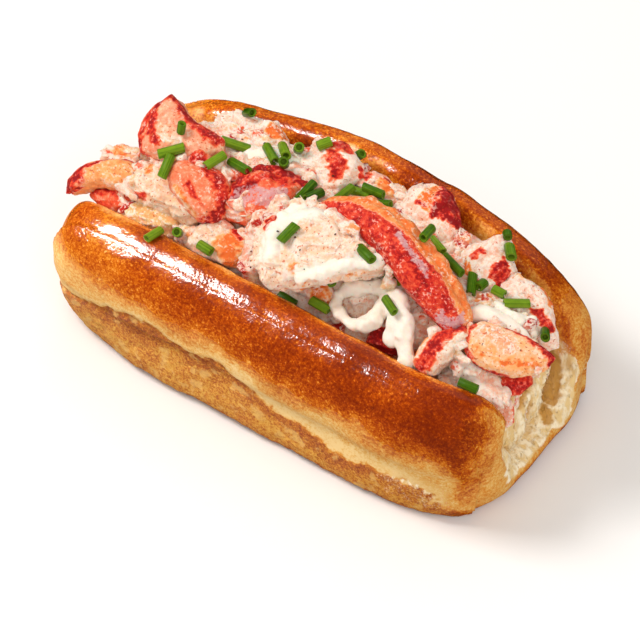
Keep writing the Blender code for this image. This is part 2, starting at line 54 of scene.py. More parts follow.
print("frame loaded:", len(frame["nodes"]), "nodes")


# small helpers for meshes

def pick(*things):
    if bpy.context.mode != "OBJECT":
        bpy.ops.object.mode_set(mode="OBJECT")
    bpy.ops.object.select_all(action="DESELECT")
    for thing in things:
        thing.select_set(True)
    if things:
        bpy.context.view_layer.objects.active = things[-1]


def pickAll(piece):  # edit mode, with the whole mesh selected
    pick(piece)
    bpy.ops.object.mode_set(mode="EDIT")
    bpy.ops.mesh.select_all(action="SELECT")


def pickFaces(piece, wanted):  # edit mode, with only the wanted faces selected
    pick(piece)
    bpy.ops.object.mode_set(mode="EDIT")
    bpy.ops.mesh.select_mode(type="FACE")
    bpy.ops.mesh.select_all(action="DESELECT")
    bpy.ops.object.mode_set(mode="OBJECT")
    for face in piece.data.polygons:
        face.select = bool(wanted(face))
    bpy.ops.object.mode_set(mode="EDIT")


def copyOf(shape):
    piece = shape.copy()
    piece.data = shape.data.copy()
    bpy.context.scene.collection.objects.link(piece)
    return piece


def copyOfNode(node, name):  # a merged copy of a CAD node, as a piece of its own
    piece = bpy.data.objects.new(name, frame["nodes"][node].data.copy())
    bpy.context.scene.collection.objects.link(piece)
    piece.data.materials.clear()
    pickAll(piece)
    bpy.ops.mesh.remove_doubles(threshold=0.01 * mm)
    bpy.ops.mesh.customdata_custom_splitnormals_clear()
    bpy.ops.mesh.tris_convert_to_quads()
    pick(piece)
    return piece


def joined(pieces, name):
    pick(*pieces)
    bpy.ops.object.join()
    piece = bpy.context.object
    piece.name = name
    return piece


def addModifier(piece, kind, **settings):  # added and applied at once
    modifier = piece.modifiers.new(kind.lower(), kind)
    for key, value in settings.items():
        setattr(modifier, key, value)
    pick(piece)
    bpy.ops.object.modifier_apply(modifier=modifier.name)


def rounded(piece, voxel, relax):  # an even skin of small quads
    addModifier(piece, "REMESH", mode="VOXEL", voxel_size=voxel * mm)
    addModifier(piece, "SMOOTH", factor=0.5, iterations=relax)
    return piece


def readVectors(piece, kind):
    values = np.empty(len(piece.data.vertices) * 3, np.float32)
    piece.data.vertices.foreach_get(kind, values)
    return values.reshape(-1, 3)


def readPoints(piece):
    return readVectors(piece, "co") / mm


def readNormals(piece):
    return readVectors(piece, "normal")


def writePoints(piece, points):
    piece.data.vertices.foreach_set("co", (points * mm).astype(np.float32).reshape(-1))
    piece.data.update()


def writeMasks(piece, least=0, **masks):  # numbers on each point, read by the materials
    for name, values in masks.items():
        layer = piece.data.attributes.get(name) or piece.data.attributes.new(name, "FLOAT", "POINT")
        values = np.broadcast_to(np.clip(values, least, 1), len(piece.data.vertices))
        layer.data.foreach_set("value", values.astype(np.float32))


def readMask(piece, name):
    values = np.zeros(len(piece.data.vertices), np.float32)
    piece.data.attributes[name].data.foreach_get("value", values)
    return values


def step(low, high, values):  # smooth step from 0 to 1
    t = np.clip((values - low) / (high - low), 0, 1)
    return t * t * (3 - 2 * t)


def lumps(points, size, shift=0, along=None, stretch=1):  # smooth noise, about -0.6 to 0.6
    spots = points.astype(np.float64)
    if along is not None:
        axis = np.array(Vector(along).normalized())
        spots = spots + np.outer(spots @ axis, axis) * (1 / stretch - 1)
    spots = spots / size + shift
    return np.array([noise.noise(spot) for spot in spots.tolist()])


def ridges(*how):  # sharp crests, 0 to 1
    return 1 - np.minimum(np.abs(lumps(*how)) * 2.6, 1)


def push(piece, amount):  # moves each point along its normal by so many millimetres
    writePoints(piece, readPoints(piece) + readNormals(piece) * np.asarray(amount).reshape(-1, 1))


def roughen(piece, layers, shift, apart=0, calm=1):  # (size, height) of each layer of lumps
    for count, (size, height) in enumerate(layers):
        rise = lumps(readPoints(piece), size, shift + count * apart) * height
        push(piece, rise * calm if count else rise)


def fromLine(points, start, end):  # distance of each point from one straight line
    run = end - start
    share = np.clip(((points - start) @ run) / max(run @ run, 1e-9), 0, 1)
    return np.linalg.norm(points - (start + share[:, None] * run), axis=1)


def nearStroke(points, stroke):  # distance of each point from a broken line
    line = np.array(stroke, float)
    ends = line[1:] if len(line) > 1 else line
    return np.min([fromLine(points, start, end) for start, end in zip(line, ends)], 0)


def insideOf(points, outline):  # how far inside a flat outline each point is, negative outside
    ring = np.array(outline, float)
    middle = ring.mean(0)
    normal = np.cross(ring - middle, np.roll(ring, -1, 0) - middle).sum(0)
    normal /= np.linalg.norm(normal)
    across = np.cross(normal, (0, 1, 0))
    across /= np.linalg.norm(across)
    plane = np.stack((across, np.cross(normal, across)), 1)
    spots, corners = (points - middle) @ plane, (ring - middle) @ plane
    best, inside = np.full(len(points), 1e9), np.zeros(len(points), bool)
    for start, end in zip(corners, np.roll(corners, -1, 0)):
        best = np.minimum(best, fromLine(spots, start, end))
        crossing = (start[1] > spots[:, 1]) != (end[1] > spots[:, 1])
        slope = (end[0] - start[0]) / ((end[1] - start[1]) or 1e-9)
        inside ^= crossing & (spots[:, 0] < start[0] + (spots[:, 1] - start[1]) * slope)
    tooDeep = step(4, 7, np.abs((points - middle) @ normal)) * 20  # the far side of the piece stays clear
    return np.where(inside, best, -best) - tooDeep


area = None  # in place of a reach: the line is an outline, and all that lies inside it is painted


def paint(piece, name, strokes, wander):  # a mask that is 1 along the strokes and fades over their edges
    points = readPoints(piece)
    mask = np.zeros(len(points))
    for reach, *stroke in strokes:
        if reach is area:
            mask = np.maximum(mask, step(-0.45, 0.45, insideOf(points, stroke) + wander * 0.9))
        else:
            distance = nearStroke(points, stroke) + wander * min(reach, 2) * 0.6
            mask = np.maximum(mask, 1 - step(reach * 0.55, reach * 1.45, distance))
    writeMasks(piece, **{name: mask})
    return mask


def lookUp(pieces):  # a search tree over the given pieces, in millimetres
    points, faces = [], []
    for piece in pieces:
        start = len(points)
        points += [v.co / mm for v in piece.data.vertices]
        faces += [[start + k for k in face.vertices] for face in piece.data.polygons]
    return BVHTree.FromPolygons(points, faces)


def dropOn(surface, x, y, height=overAll):  # where something comes to rest
    return surface.ray_cast(Vector((x, y, height)), Vector((0, 0, -1)))


def repeated(pairs):  # each value as many times as its pair says
    return [value for value, times in pairs for _ in range(times)]


def dress(piece, material, slot, *nodes):  # material, body, slot (not used) and the solids that it stands for
    pick(piece)
    bpy.ops.object.shade_smooth()
    piece.data.materials.clear()
    piece.data.materials.append(material)
    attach(piece, "root")
    if nodes:
        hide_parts(*nodes)


# shader maths as Python expressions

class Wire:  # one output socket
    def __init__(self, finish, socket):
        self.finish = finish
        self.socket = socket

    def maths(self, operation, first, second):
        return self.finish.node("Math", {"operation": operation}, {0: first, 1: second})

    def __add__(self, other):
        return self.maths("ADD", self, other)

    def __sub__(self, other):
        return self.maths("SUBTRACT", self, other)

    def __rsub__(self, other):
        return self.maths("SUBTRACT", other, self)

    def __mul__(self, other):
        return self.maths("MULTIPLY", self, other)

    __radd__, __rmul__ = __add__, __mul__


class Finish:  # a material that is built node by node
    def __init__(self, name):
        self.material = bpy.data.materials.new(name)
        self.material.use_nodes = True
        self.tree = self.material.node_tree
        self.tree.nodes.clear()
        self.colour = None
        self.place = self.node("TexCoord", output="Object")

    def node(self, kind, settings=None, inputs=None, output=0):
        made = self.tree.nodes.new("ShaderNode" + kind)
        for key, value in (settings or {}).items():
            if key == "stops":
                ramp = made.color_ramp
                while len(ramp.elements) < len(value):
                    ramp.elements.new(0.5)
                for element, (spot, colour) in zip(ramp.elements, value):
                    element.position = spot
                    element.color = (*colour, 1)
            else:
                setattr(made, key, value)
        for key, value in (inputs or {}).items():
            if isinstance(value, Wire):
                self.tree.links.new(value.socket, made.inputs[key])
            else:
                made.inputs[key].default_value = value
        return Wire(self, made.outputs[output])

    def masks(self, *names, output="Fac"):
        return [self.node("Attribute", {"attribute_name": name}, output=output) for name in names]

    def texture(self, kind, size, place, output=0, settings=None, **inputs):  # size is in millimetres
        inputs |= {"Vector": place or self.place, "Scale": 1 / (size * mm)}
        return self.node("Tex" + kind, settings, inputs, output)

    def grain(self, size, detail=2, rough=0.55, place=None):
        return self.texture("Noise", size, place, Detail=detail, Roughness=rough)

    def stretched(self, scale):  # object coordinates, stretched
        return self.node("Mapping", inputs={"Vector": self.place, "Scale": scale})

    def rise(self, low, high, value):  # smooth step
        return self.node("MapRange", {"interpolation_type": "SMOOTHSTEP"}, {
            "Value": value, "From Min": low, "From Max": high})

    def ramp(self, value, *stops):
        return self.node("ValToRGB", {"stops": stops}, {"Fac": value})

    def mix(self, share, first, second, how="MIX"):
        first, second = (c if isinstance(c, Wire) else (*c, 1) for c in (first, second))
        return self.node("Mix", {"data_type": "RGBA", "blend_type": how}, {0: share, 6: first, 7: second}, 2)

    def cover(self, colour, low, high, value, most=None):  # over the colour so far, where the value is high
        share = self.rise(low, high, value)
        self.colour = self.mix(share * most if most else share, self.colour, colour)

    def bumps(self, *layers):  # (height, depth): each height runs from 0 to 1 over so many millimetres
        below = {}
        for height, depth in layers:
            inputs = {"Height": height, "Distance": depth * mm, "Strength": 1, **below}
            below = {"Normal": self.node("Bump", inputs=inputs)}
        return below["Normal"]

    def finished(self, **inputs):  # underscores stand for the spaces in the shader's socket names
        named = {key.replace("_", " "): value for key, value in inputs.items()}
        shader = self.node("BsdfPrincipled", inputs=named)
        out = self.tree.nodes.new("ShaderNodeOutputMaterial")
        self.tree.links.new(shader.socket, out.inputs["Surface"])
        return self.material


# the bread

bread = {
    "voxel": 0.85,
    "waves": ((26, 0.7), (9, 0.35), (3.5, 0.12)),  # (size, height) of its unevenness
    "crease": ((14, -28, 43), (13, -34, 38), (12, -37, 32)),  # a fold in the near crust
    "corner": ((53, -35, 12), (63, -34, 9)),  # torn open, low at the right
    "along": (-74, -50, -35, -20, -5, 10, 28, 50, 62, 74),  # places along the roll, and there:
    "darkest": (0.44, 0.52, 0.58, 0.64, 0.68, 0.74, 0.8, 0.84, 0.86, 0.74),  # how deeply the crown is baked
    "browns": (26, 24, 24, 23, 23, 22, 23, 22, 19, 10),  # height where the pale side starts to brown
    "toasted": (12, 20, 23, 23, 22, 15, 13, 12, 9, 3),  # height that the toasted side reaches
    "farShare": 0.78,  # the far wall's crown is paler by this much
    "openEnd": (58, 64),  # where along the roll its right end starts
    "across": (-30, -26, -22, -18, -14, 14, 22, 28),  # places across that end, and there:
    "endBrown": (0.78, 0.68, 0.38, 0.14, 0.04, 0.06, 0.16, 0.24),  # how browned it is
    "inside": ((30, 40, 46, 51), (0.08, 0.22, 0.42, 0.6)),  # heights on the trough's walls, their browning
    "hollows": (  # in the crumb: pushed in on the torn crumb, and darkened there and on the roll with painted shade
        (2.6, (66, 17, 22), (68, 14, 17), (69, 12, 13)), (1.4, (69, 10, 11), (71, 8, 8))),
    "cuts": (((62, 0, 0), (-1, 0, 0)), ((67, 0, 26), (0.25, -0.5, 1)), ((67, -10, 20), (0, -1, 0.2))),
    "pores": (0.25, 0.35, 1),  # the way that the crumb's pores are stretched
}


def bakeRoll():
    roll = copyOfNode("roll", "brioche_roll")
    addModifier(roll, "SUBSURF", levels=1, render_levels=1)
    rounded(roll, bread["voxel"], 3)
    (x, y, z), outward = readPoints(roll).T, readNormals(roll)[:, 1]
    swell = 0.4 + step(-45, -68, x) * 0.8 + step(26, 18, z) * 0.7  # more at the left and low down
    push(roll, swell * (abs(outward) > 0.5) * (y * outward > 0))
    roughen(roll, bread["waves"], 4)
    points, normals = readPoints(roll), readNormals(roll)
    x, y, z = points.T
    inward = -np.sign(y) * normals[:, 1]
    facingIn = step(0.05, 0.4, inward)  # 1 on the trough's walls
    facingOut = 1 - facingIn
    atEnd = step(*bread["openEnd"], x)
    broad, middle, small = lumps(points, 14, 2), lumps(points, 4, 7), lumps(points, 1.6, 9)
    grainy = lumps(points, 1.1, 21, (1, 0, 0), 2)

    # where the side is toasted, and where the crumb lies open
    reach = np.interp(x, bread["along"], bread["toasted"]) + middle * 2 + broad * 4
    low = step(reach + 1.8, reach - 1.8, z + small * 3) * facingOut
    tornIn = facingIn * step(38, 56, x + broad * 12) * step(32, 20, z + middle * 6)
    tornEnd = atEnd * step(-18, -14, y + small * 3) * step(17, 13, y + middle * 5)
    tornEnd *= step(5, 8, z + middle * 3)
    floor = step(0.6, 0.9, normals[:, 2]) * step(14, 10, z) * step(26, 18, abs(y))
    floor += facingIn * step(20, 12, z)
    corner = step(7, 5, nearStroke(points, bread["corner"]) + middle * 5) * step(18, 16, z + small * 3)
    corner = corner * step(68, 66, x + small * 3) * step(3, 6, z) * 0.3
    seam = step(0.9, 0.2, abs(z - reach - 0.6) + small * 2) * step(-58, -50, x)
    seam *= step(0.05, 0.3, broad + small)
    crumb = np.clip(tornIn + tornEnd + floor + corner + seam * facingOut * 0.55, 0, 1)

    # how browned the crown, the right end and the trough's walls are
    darkest = np.interp(x, bread["along"], bread["darkest"]) + broad * 0.22
    darkest *= 1 - (1 - bread["farShare"]) * (y > 0)
    start = np.interp(x, bread["along"], bread["browns"]) + broad * 5 + middle * 1.5
    bake = darkest * step(start, start + 15, z)
    end = step(0.35, 0.75, normals[:, 0]) * atEnd
    endBake = np.interp(y + middle * 2, bread["across"], bread["endBrown"]) + middle * 0.1
    endBake = endBake * (1 - 0.3 * step(22, 10, z)) + step(6, 2, z) * 0.6
    bake = bake * (1 - end) + endBake * end
    bake *= 1 - 0.66 * step(60, 71, x - z * 0.2 + middle * 3) * step(-12, -20, y) * facingOut
    low *= 1 - end
    wall = np.interp(z, *bread["inside"]) + step(15, 60, x) * 0.14
    wall += (y < 0) * step(34, 41, z) * 0.2
    bake = bake * facingOut + facingIn * (wall + broad * 0.5 + middle * 0.25)
    rim = step(0.25, 0.4, inward) * step(0.7, 0.55, inward) * (y < 0) * step(34, 38, z)
    bake *= 1 - 0.4 * rim

    # the pale line above the toasted side, and the toasted side's darker edges: painted shade under the
    # crown's overhang and along the bottom by the floor
    pale = step(5, 2, abs(z - reach - 3.5) + small) * step(-12, 10, x) * step(60, 48, x) * facingOut
    bake = 0.2 + 0.8 * bake - 0.2 * np.maximum(pale, 0.5 * step(2.5, 1, abs(z - reach - 2)) * facingOut)
    # painted shade: darker towards the crown's overhang and along the bottom by the floor
    shadedEdges = np.maximum(step(reach - 8, reach - 1, z), step(3.5, 1, z + middle * 2))
    bake = bake * (1 - low) + low * (0.25 + 0.7 * shadedEdges)

    torn = step(0.55, 0.9, ridges(points, 3.4, 31)) * -0.4 + small * 0.3
    crease = nearStroke(points, bread["crease"]) + small * 0.5
    tuck = step(1.5, 0.2, abs(z - reach)) * step(8, -10, x) * facingOut * (1 - end)  # between crown and side
    rough = low * (grainy * 0.28 + small * 0.16) + crumb * torn
    push(roll, rough - step(1.6, 0, crease) * 0.55 - tuck * 0.8)
    writeMasks(roll, bake=bake, toast=low, crumb=crumb)
    # painted shade in the hollows of the open crumb, kept as a mask for the material
    paint(roll, "hollow", bread["hollows"], middle + small)
    points = readPoints(roll)
    points[:, 2] = np.maximum(points[:, 2], 0)  # it stands flat
    writePoints(roll, points)
    dress(roll, brioche, "brioche", "roll")
    return roll


def briocheFinish():
    crust = Finish("glazed brioche")
    bake, toast, crumb, hollow = crust.masks("bake", "toast", "crumb", "hollow")
    broad, leather, fine = crust.grain(8, 3), crust.grain(1.1, 2, 0.6), crust.grain(0.55, 1)
    # painted glints: paler golden specks on the well-baked crust, where light catches the glaze
    paintedGlints = crust.rise(0.55, 0.7, crust.grain(0.75, 2, 0.6)) * crust.rise(0.36, 0.6, bake)
    drifting, uneven = broad - 0.5, leather - 0.5
    level = bake + drifting * 0.28 + uneven * 0.6 + (fine - 0.5) * 0.3 - paintedGlints * 0.2
    glazed = crust.ramp(
        level, (0, (0.77, 0.53, 0.22)), (0.2, (0.71, 0.39, 0.09)), (0.36, (0.65, 0.24, 0.022)),
        (0.5, (0.53, 0.125, 0.005)), (0.64, (0.37, 0.056, 0.002)), (0.8, (0.24, 0.027, 0.001)),
        (1, (0.15, 0.014, 0.001)))
    grains = crust.grain(0.8, 4, 0.8)
    toasted = crust.ramp(
        grains + drifting * 0.25 + (bake - 0.45) * 0.16, (0.38, (0.68, 0.35, 0.045)),
        (0.46, (0.61, 0.23, 0.015)), (0.55, (0.48, 0.12, 0.004)), (0.66, (0.29, 0.05, 0.002)))
    toasted = crust.mix(crust.rise(0.54, 0.64, crust.grain(5, 4)) * 0.6, toasted, (0.74, 0.45, 0.12))
    streaks = crust.rise(0.4, 0.62, crust.grain(2.4, 3, 0.6, crust.stretched((1, 1, 0.3))))
    pores = crust.rise(0.4, 0.3, crust.grain(1.2, 3, 0.65, crust.stretched((1, 1, 0.5))))
    opened = crust.mix(streaks, (0.8, 0.57, 0.26), (0.95, 0.83, 0.6))
    # painted shade: darker inside the crumb's pores
    opened = crust.mix(pores * 0.6, opened, (0.62, 0.38, 0.12))
    # painted shade: darker golden brown in the crumb's hollows
    opened = crust.mix(crust.rise(0.1, 0.7, hollow + uneven * 0.5) * 0.9, opened, (0.52, 0.25, 0.04))
    crust.colour = glazed
    crust.cover(toasted, 0.25, 0.75, toast + uneven * 1.2)
    crust.cover(opened, 0.25, 0.75, crumb + uneven * 0.5 + (fine - 0.5) * 0.5)
    gloss = crust.rise(0.28, 0.56, bake) * (1 - toast) * (1 - crumb)
    drift = crust.node("TexNoise", inputs={"Vector": crust.place, "Scale": 700, "Detail": 2}, output="Color")
    warped = crust.node(
        "VectorMath", {"operation": "MULTIPLY_ADD"}, {0: drift, 1: (1.6 * mm,) * 3, 2: crust.place})
    cells = crust.texture("Voronoi", 1.9, warped, "Distance", {"feature": "DISTANCE_TO_EDGE"})
    wrinkles = crust.rise(0, 0.22, cells)
    skin = 1 - crumb
    return crust.finished(
        Base_Color=crust.colour, Roughness=0.8 - gloss * 0.62 + uneven * 0.15, Specular_IOR_Level=0.4,
        Normal=crust.bumps((crust.grain(3.4, 2) * skin, 0.3), ((wrinkles * 0.4 + leather) * skin, 0.05),
                           (fine * skin, 0.04), (grains * toast, 0.3), ((streaks - pores) * crumb, 0.2)))


def tornCrumb():  # open crumb between the salad's end and the far wall
    piece = copyOfNode("lobster_salad", "torn_crumb")
    for spot, way in bread["cuts"]:
        pickAll(piece)
        spot = [c * mm for c in spot]
        bpy.ops.mesh.bisect(plane_co=spot, plane_no=way, use_fill=True, clear_outer=True)
    pick(piece)
    rounded(piece, 0.5, 6)
    points, way = readPoints(piece), bread["pores"]
    pits = step(0.08, 0.35, lumps(points, 4.5, 8, way, 2.2))
    push(piece, 1.6 + lumps(points, 1.4, 3, way, 5) * 1.3 + lumps(points, 1, 5) * 0.5 - pits * 2.4)
    writeMasks(piece, bake=0.2, toast=0, crumb=1)
    deep = paint(piece, "hollow", bread["hollows"], lumps(points, 1.6, 6, way, 3))
    push(piece, -2.5 * deep)
    # the hollows and the pits are darkened with painted shade
    writeMasks(piece, hollow=np.maximum(deep, pits * 0.8))
    dress(piece, brioche, "brioche")


brioche = briocheFinish()
roll = bakeRoll()
tornCrumb()
print("roll done:", len(roll.data.vertices), "points")


# bits of meat and dressing are made from one small ball

def ballShape(divisions):
    pick()
    bpy.ops.mesh.primitive_ico_sphere_add(subdivisions=divisions, radius=mm)
    return bpy.context.object


def bitsOf(ball, places, wobble):  # copies of the ball; a place is its middle, half sizes and turn
    start = readPoints(ball)
    bits = []
    for middle, sizes, turn in places:
        bit = copyOf(ball)
        lump = 1 + lumps(start * 1.4 + np.array(middle), 1) * wobble
        writePoints(bit, (start * lump[:, None] * np.array(sizes)) @ np.array(turn).T + np.array(middle))
        bits.append(bit)
    return bits


def turned(chance, start=Matrix.Identity(3), tilt=0.9, axis="X"):
    spin = start @ Matrix.Rotation(chance.uniform(0, fullTurn), 3, "Z")
    return spin @ Matrix.Rotation(chance.uniform(-tilt, tilt), 3, axis)


def unevenBit(chance, spot, size):  # a place for a bit, with sizes round the given one
    sizes = [size * chance.uniform(*ends) for ends in ((1, 1.9), (0.6, 1), (0.5, 0.9))]
    return spot, sizes, turned(chance)


def beadPlaces(strokes):  # a row of overlapping balls along each broken line
    places = []
    for radius, *line in strokes:
        for start, end in zip(line, line[1:]):
            run = Vector(end) - Vector(start)
            steps = max(1, round(run.length / (radius * 0.45)))
            for k in range(steps + 1):
                size = radius * (1 + 0.16 * math.sin(7 * k + start[0]))
                places.append((Vector(start) + run * (k / steps), (size, size, size), Matrix.Identity(3)))
    return places


# the lobster

flesh = {
    "snow": (0.9, 0.7, 0.58), "white": (0.86, 0.61, 0.45), "cream": (0.86, 0.6, 0.36),
    "butterAndShade": (0.84, 0.54, 0.24), "pink": (0.88, 0.47, 0.35), "peach": (0.9, 0.46, 0.25),
    "apricot": (0.88, 0.34, 0.12), "coral": (0.8, 0.13, 0.06), "ruby": (0.5, 0.02, 0.014),
}
textures = {  # relaxing steps, growth, fibre height and the (size, height) of each layer of unevenness
    "claw": (4, 0.45, 0.14, ((5, 0.5), (1.7, 0.2), (0.9, 0.14))),
    "slice": (3, 0.3, 0.08, ((5, 0.3), (1.7, 0.12), (0.9, 0.12))),
    "chunk": (2, 0.6, 0.6, ((4.5, 1), (2, 0.5), (0.9, 0.2))),
    "cut": (1, 0.45, 0.35, ((5, 0.4), (1.9, 0.3), (0.9, 0.18))),
    "flake": (4, 0.5, 0.7, ((5, 0.9), (1.8, 0.3), (0.9, 0.08))),
    "leg": (3, 0.4, 0.1, ((6, 0.4), (1.5, 0.12), (0.8, 0.06))),
    "shreds": (3, 0.4, 0.5, ((5, 1.2), (2.2, 0.6), (0.9, 0.2))),
    "strand": (6, 0.1, 0.25, ((4, 0.7), (1.8, 0.35))),
}
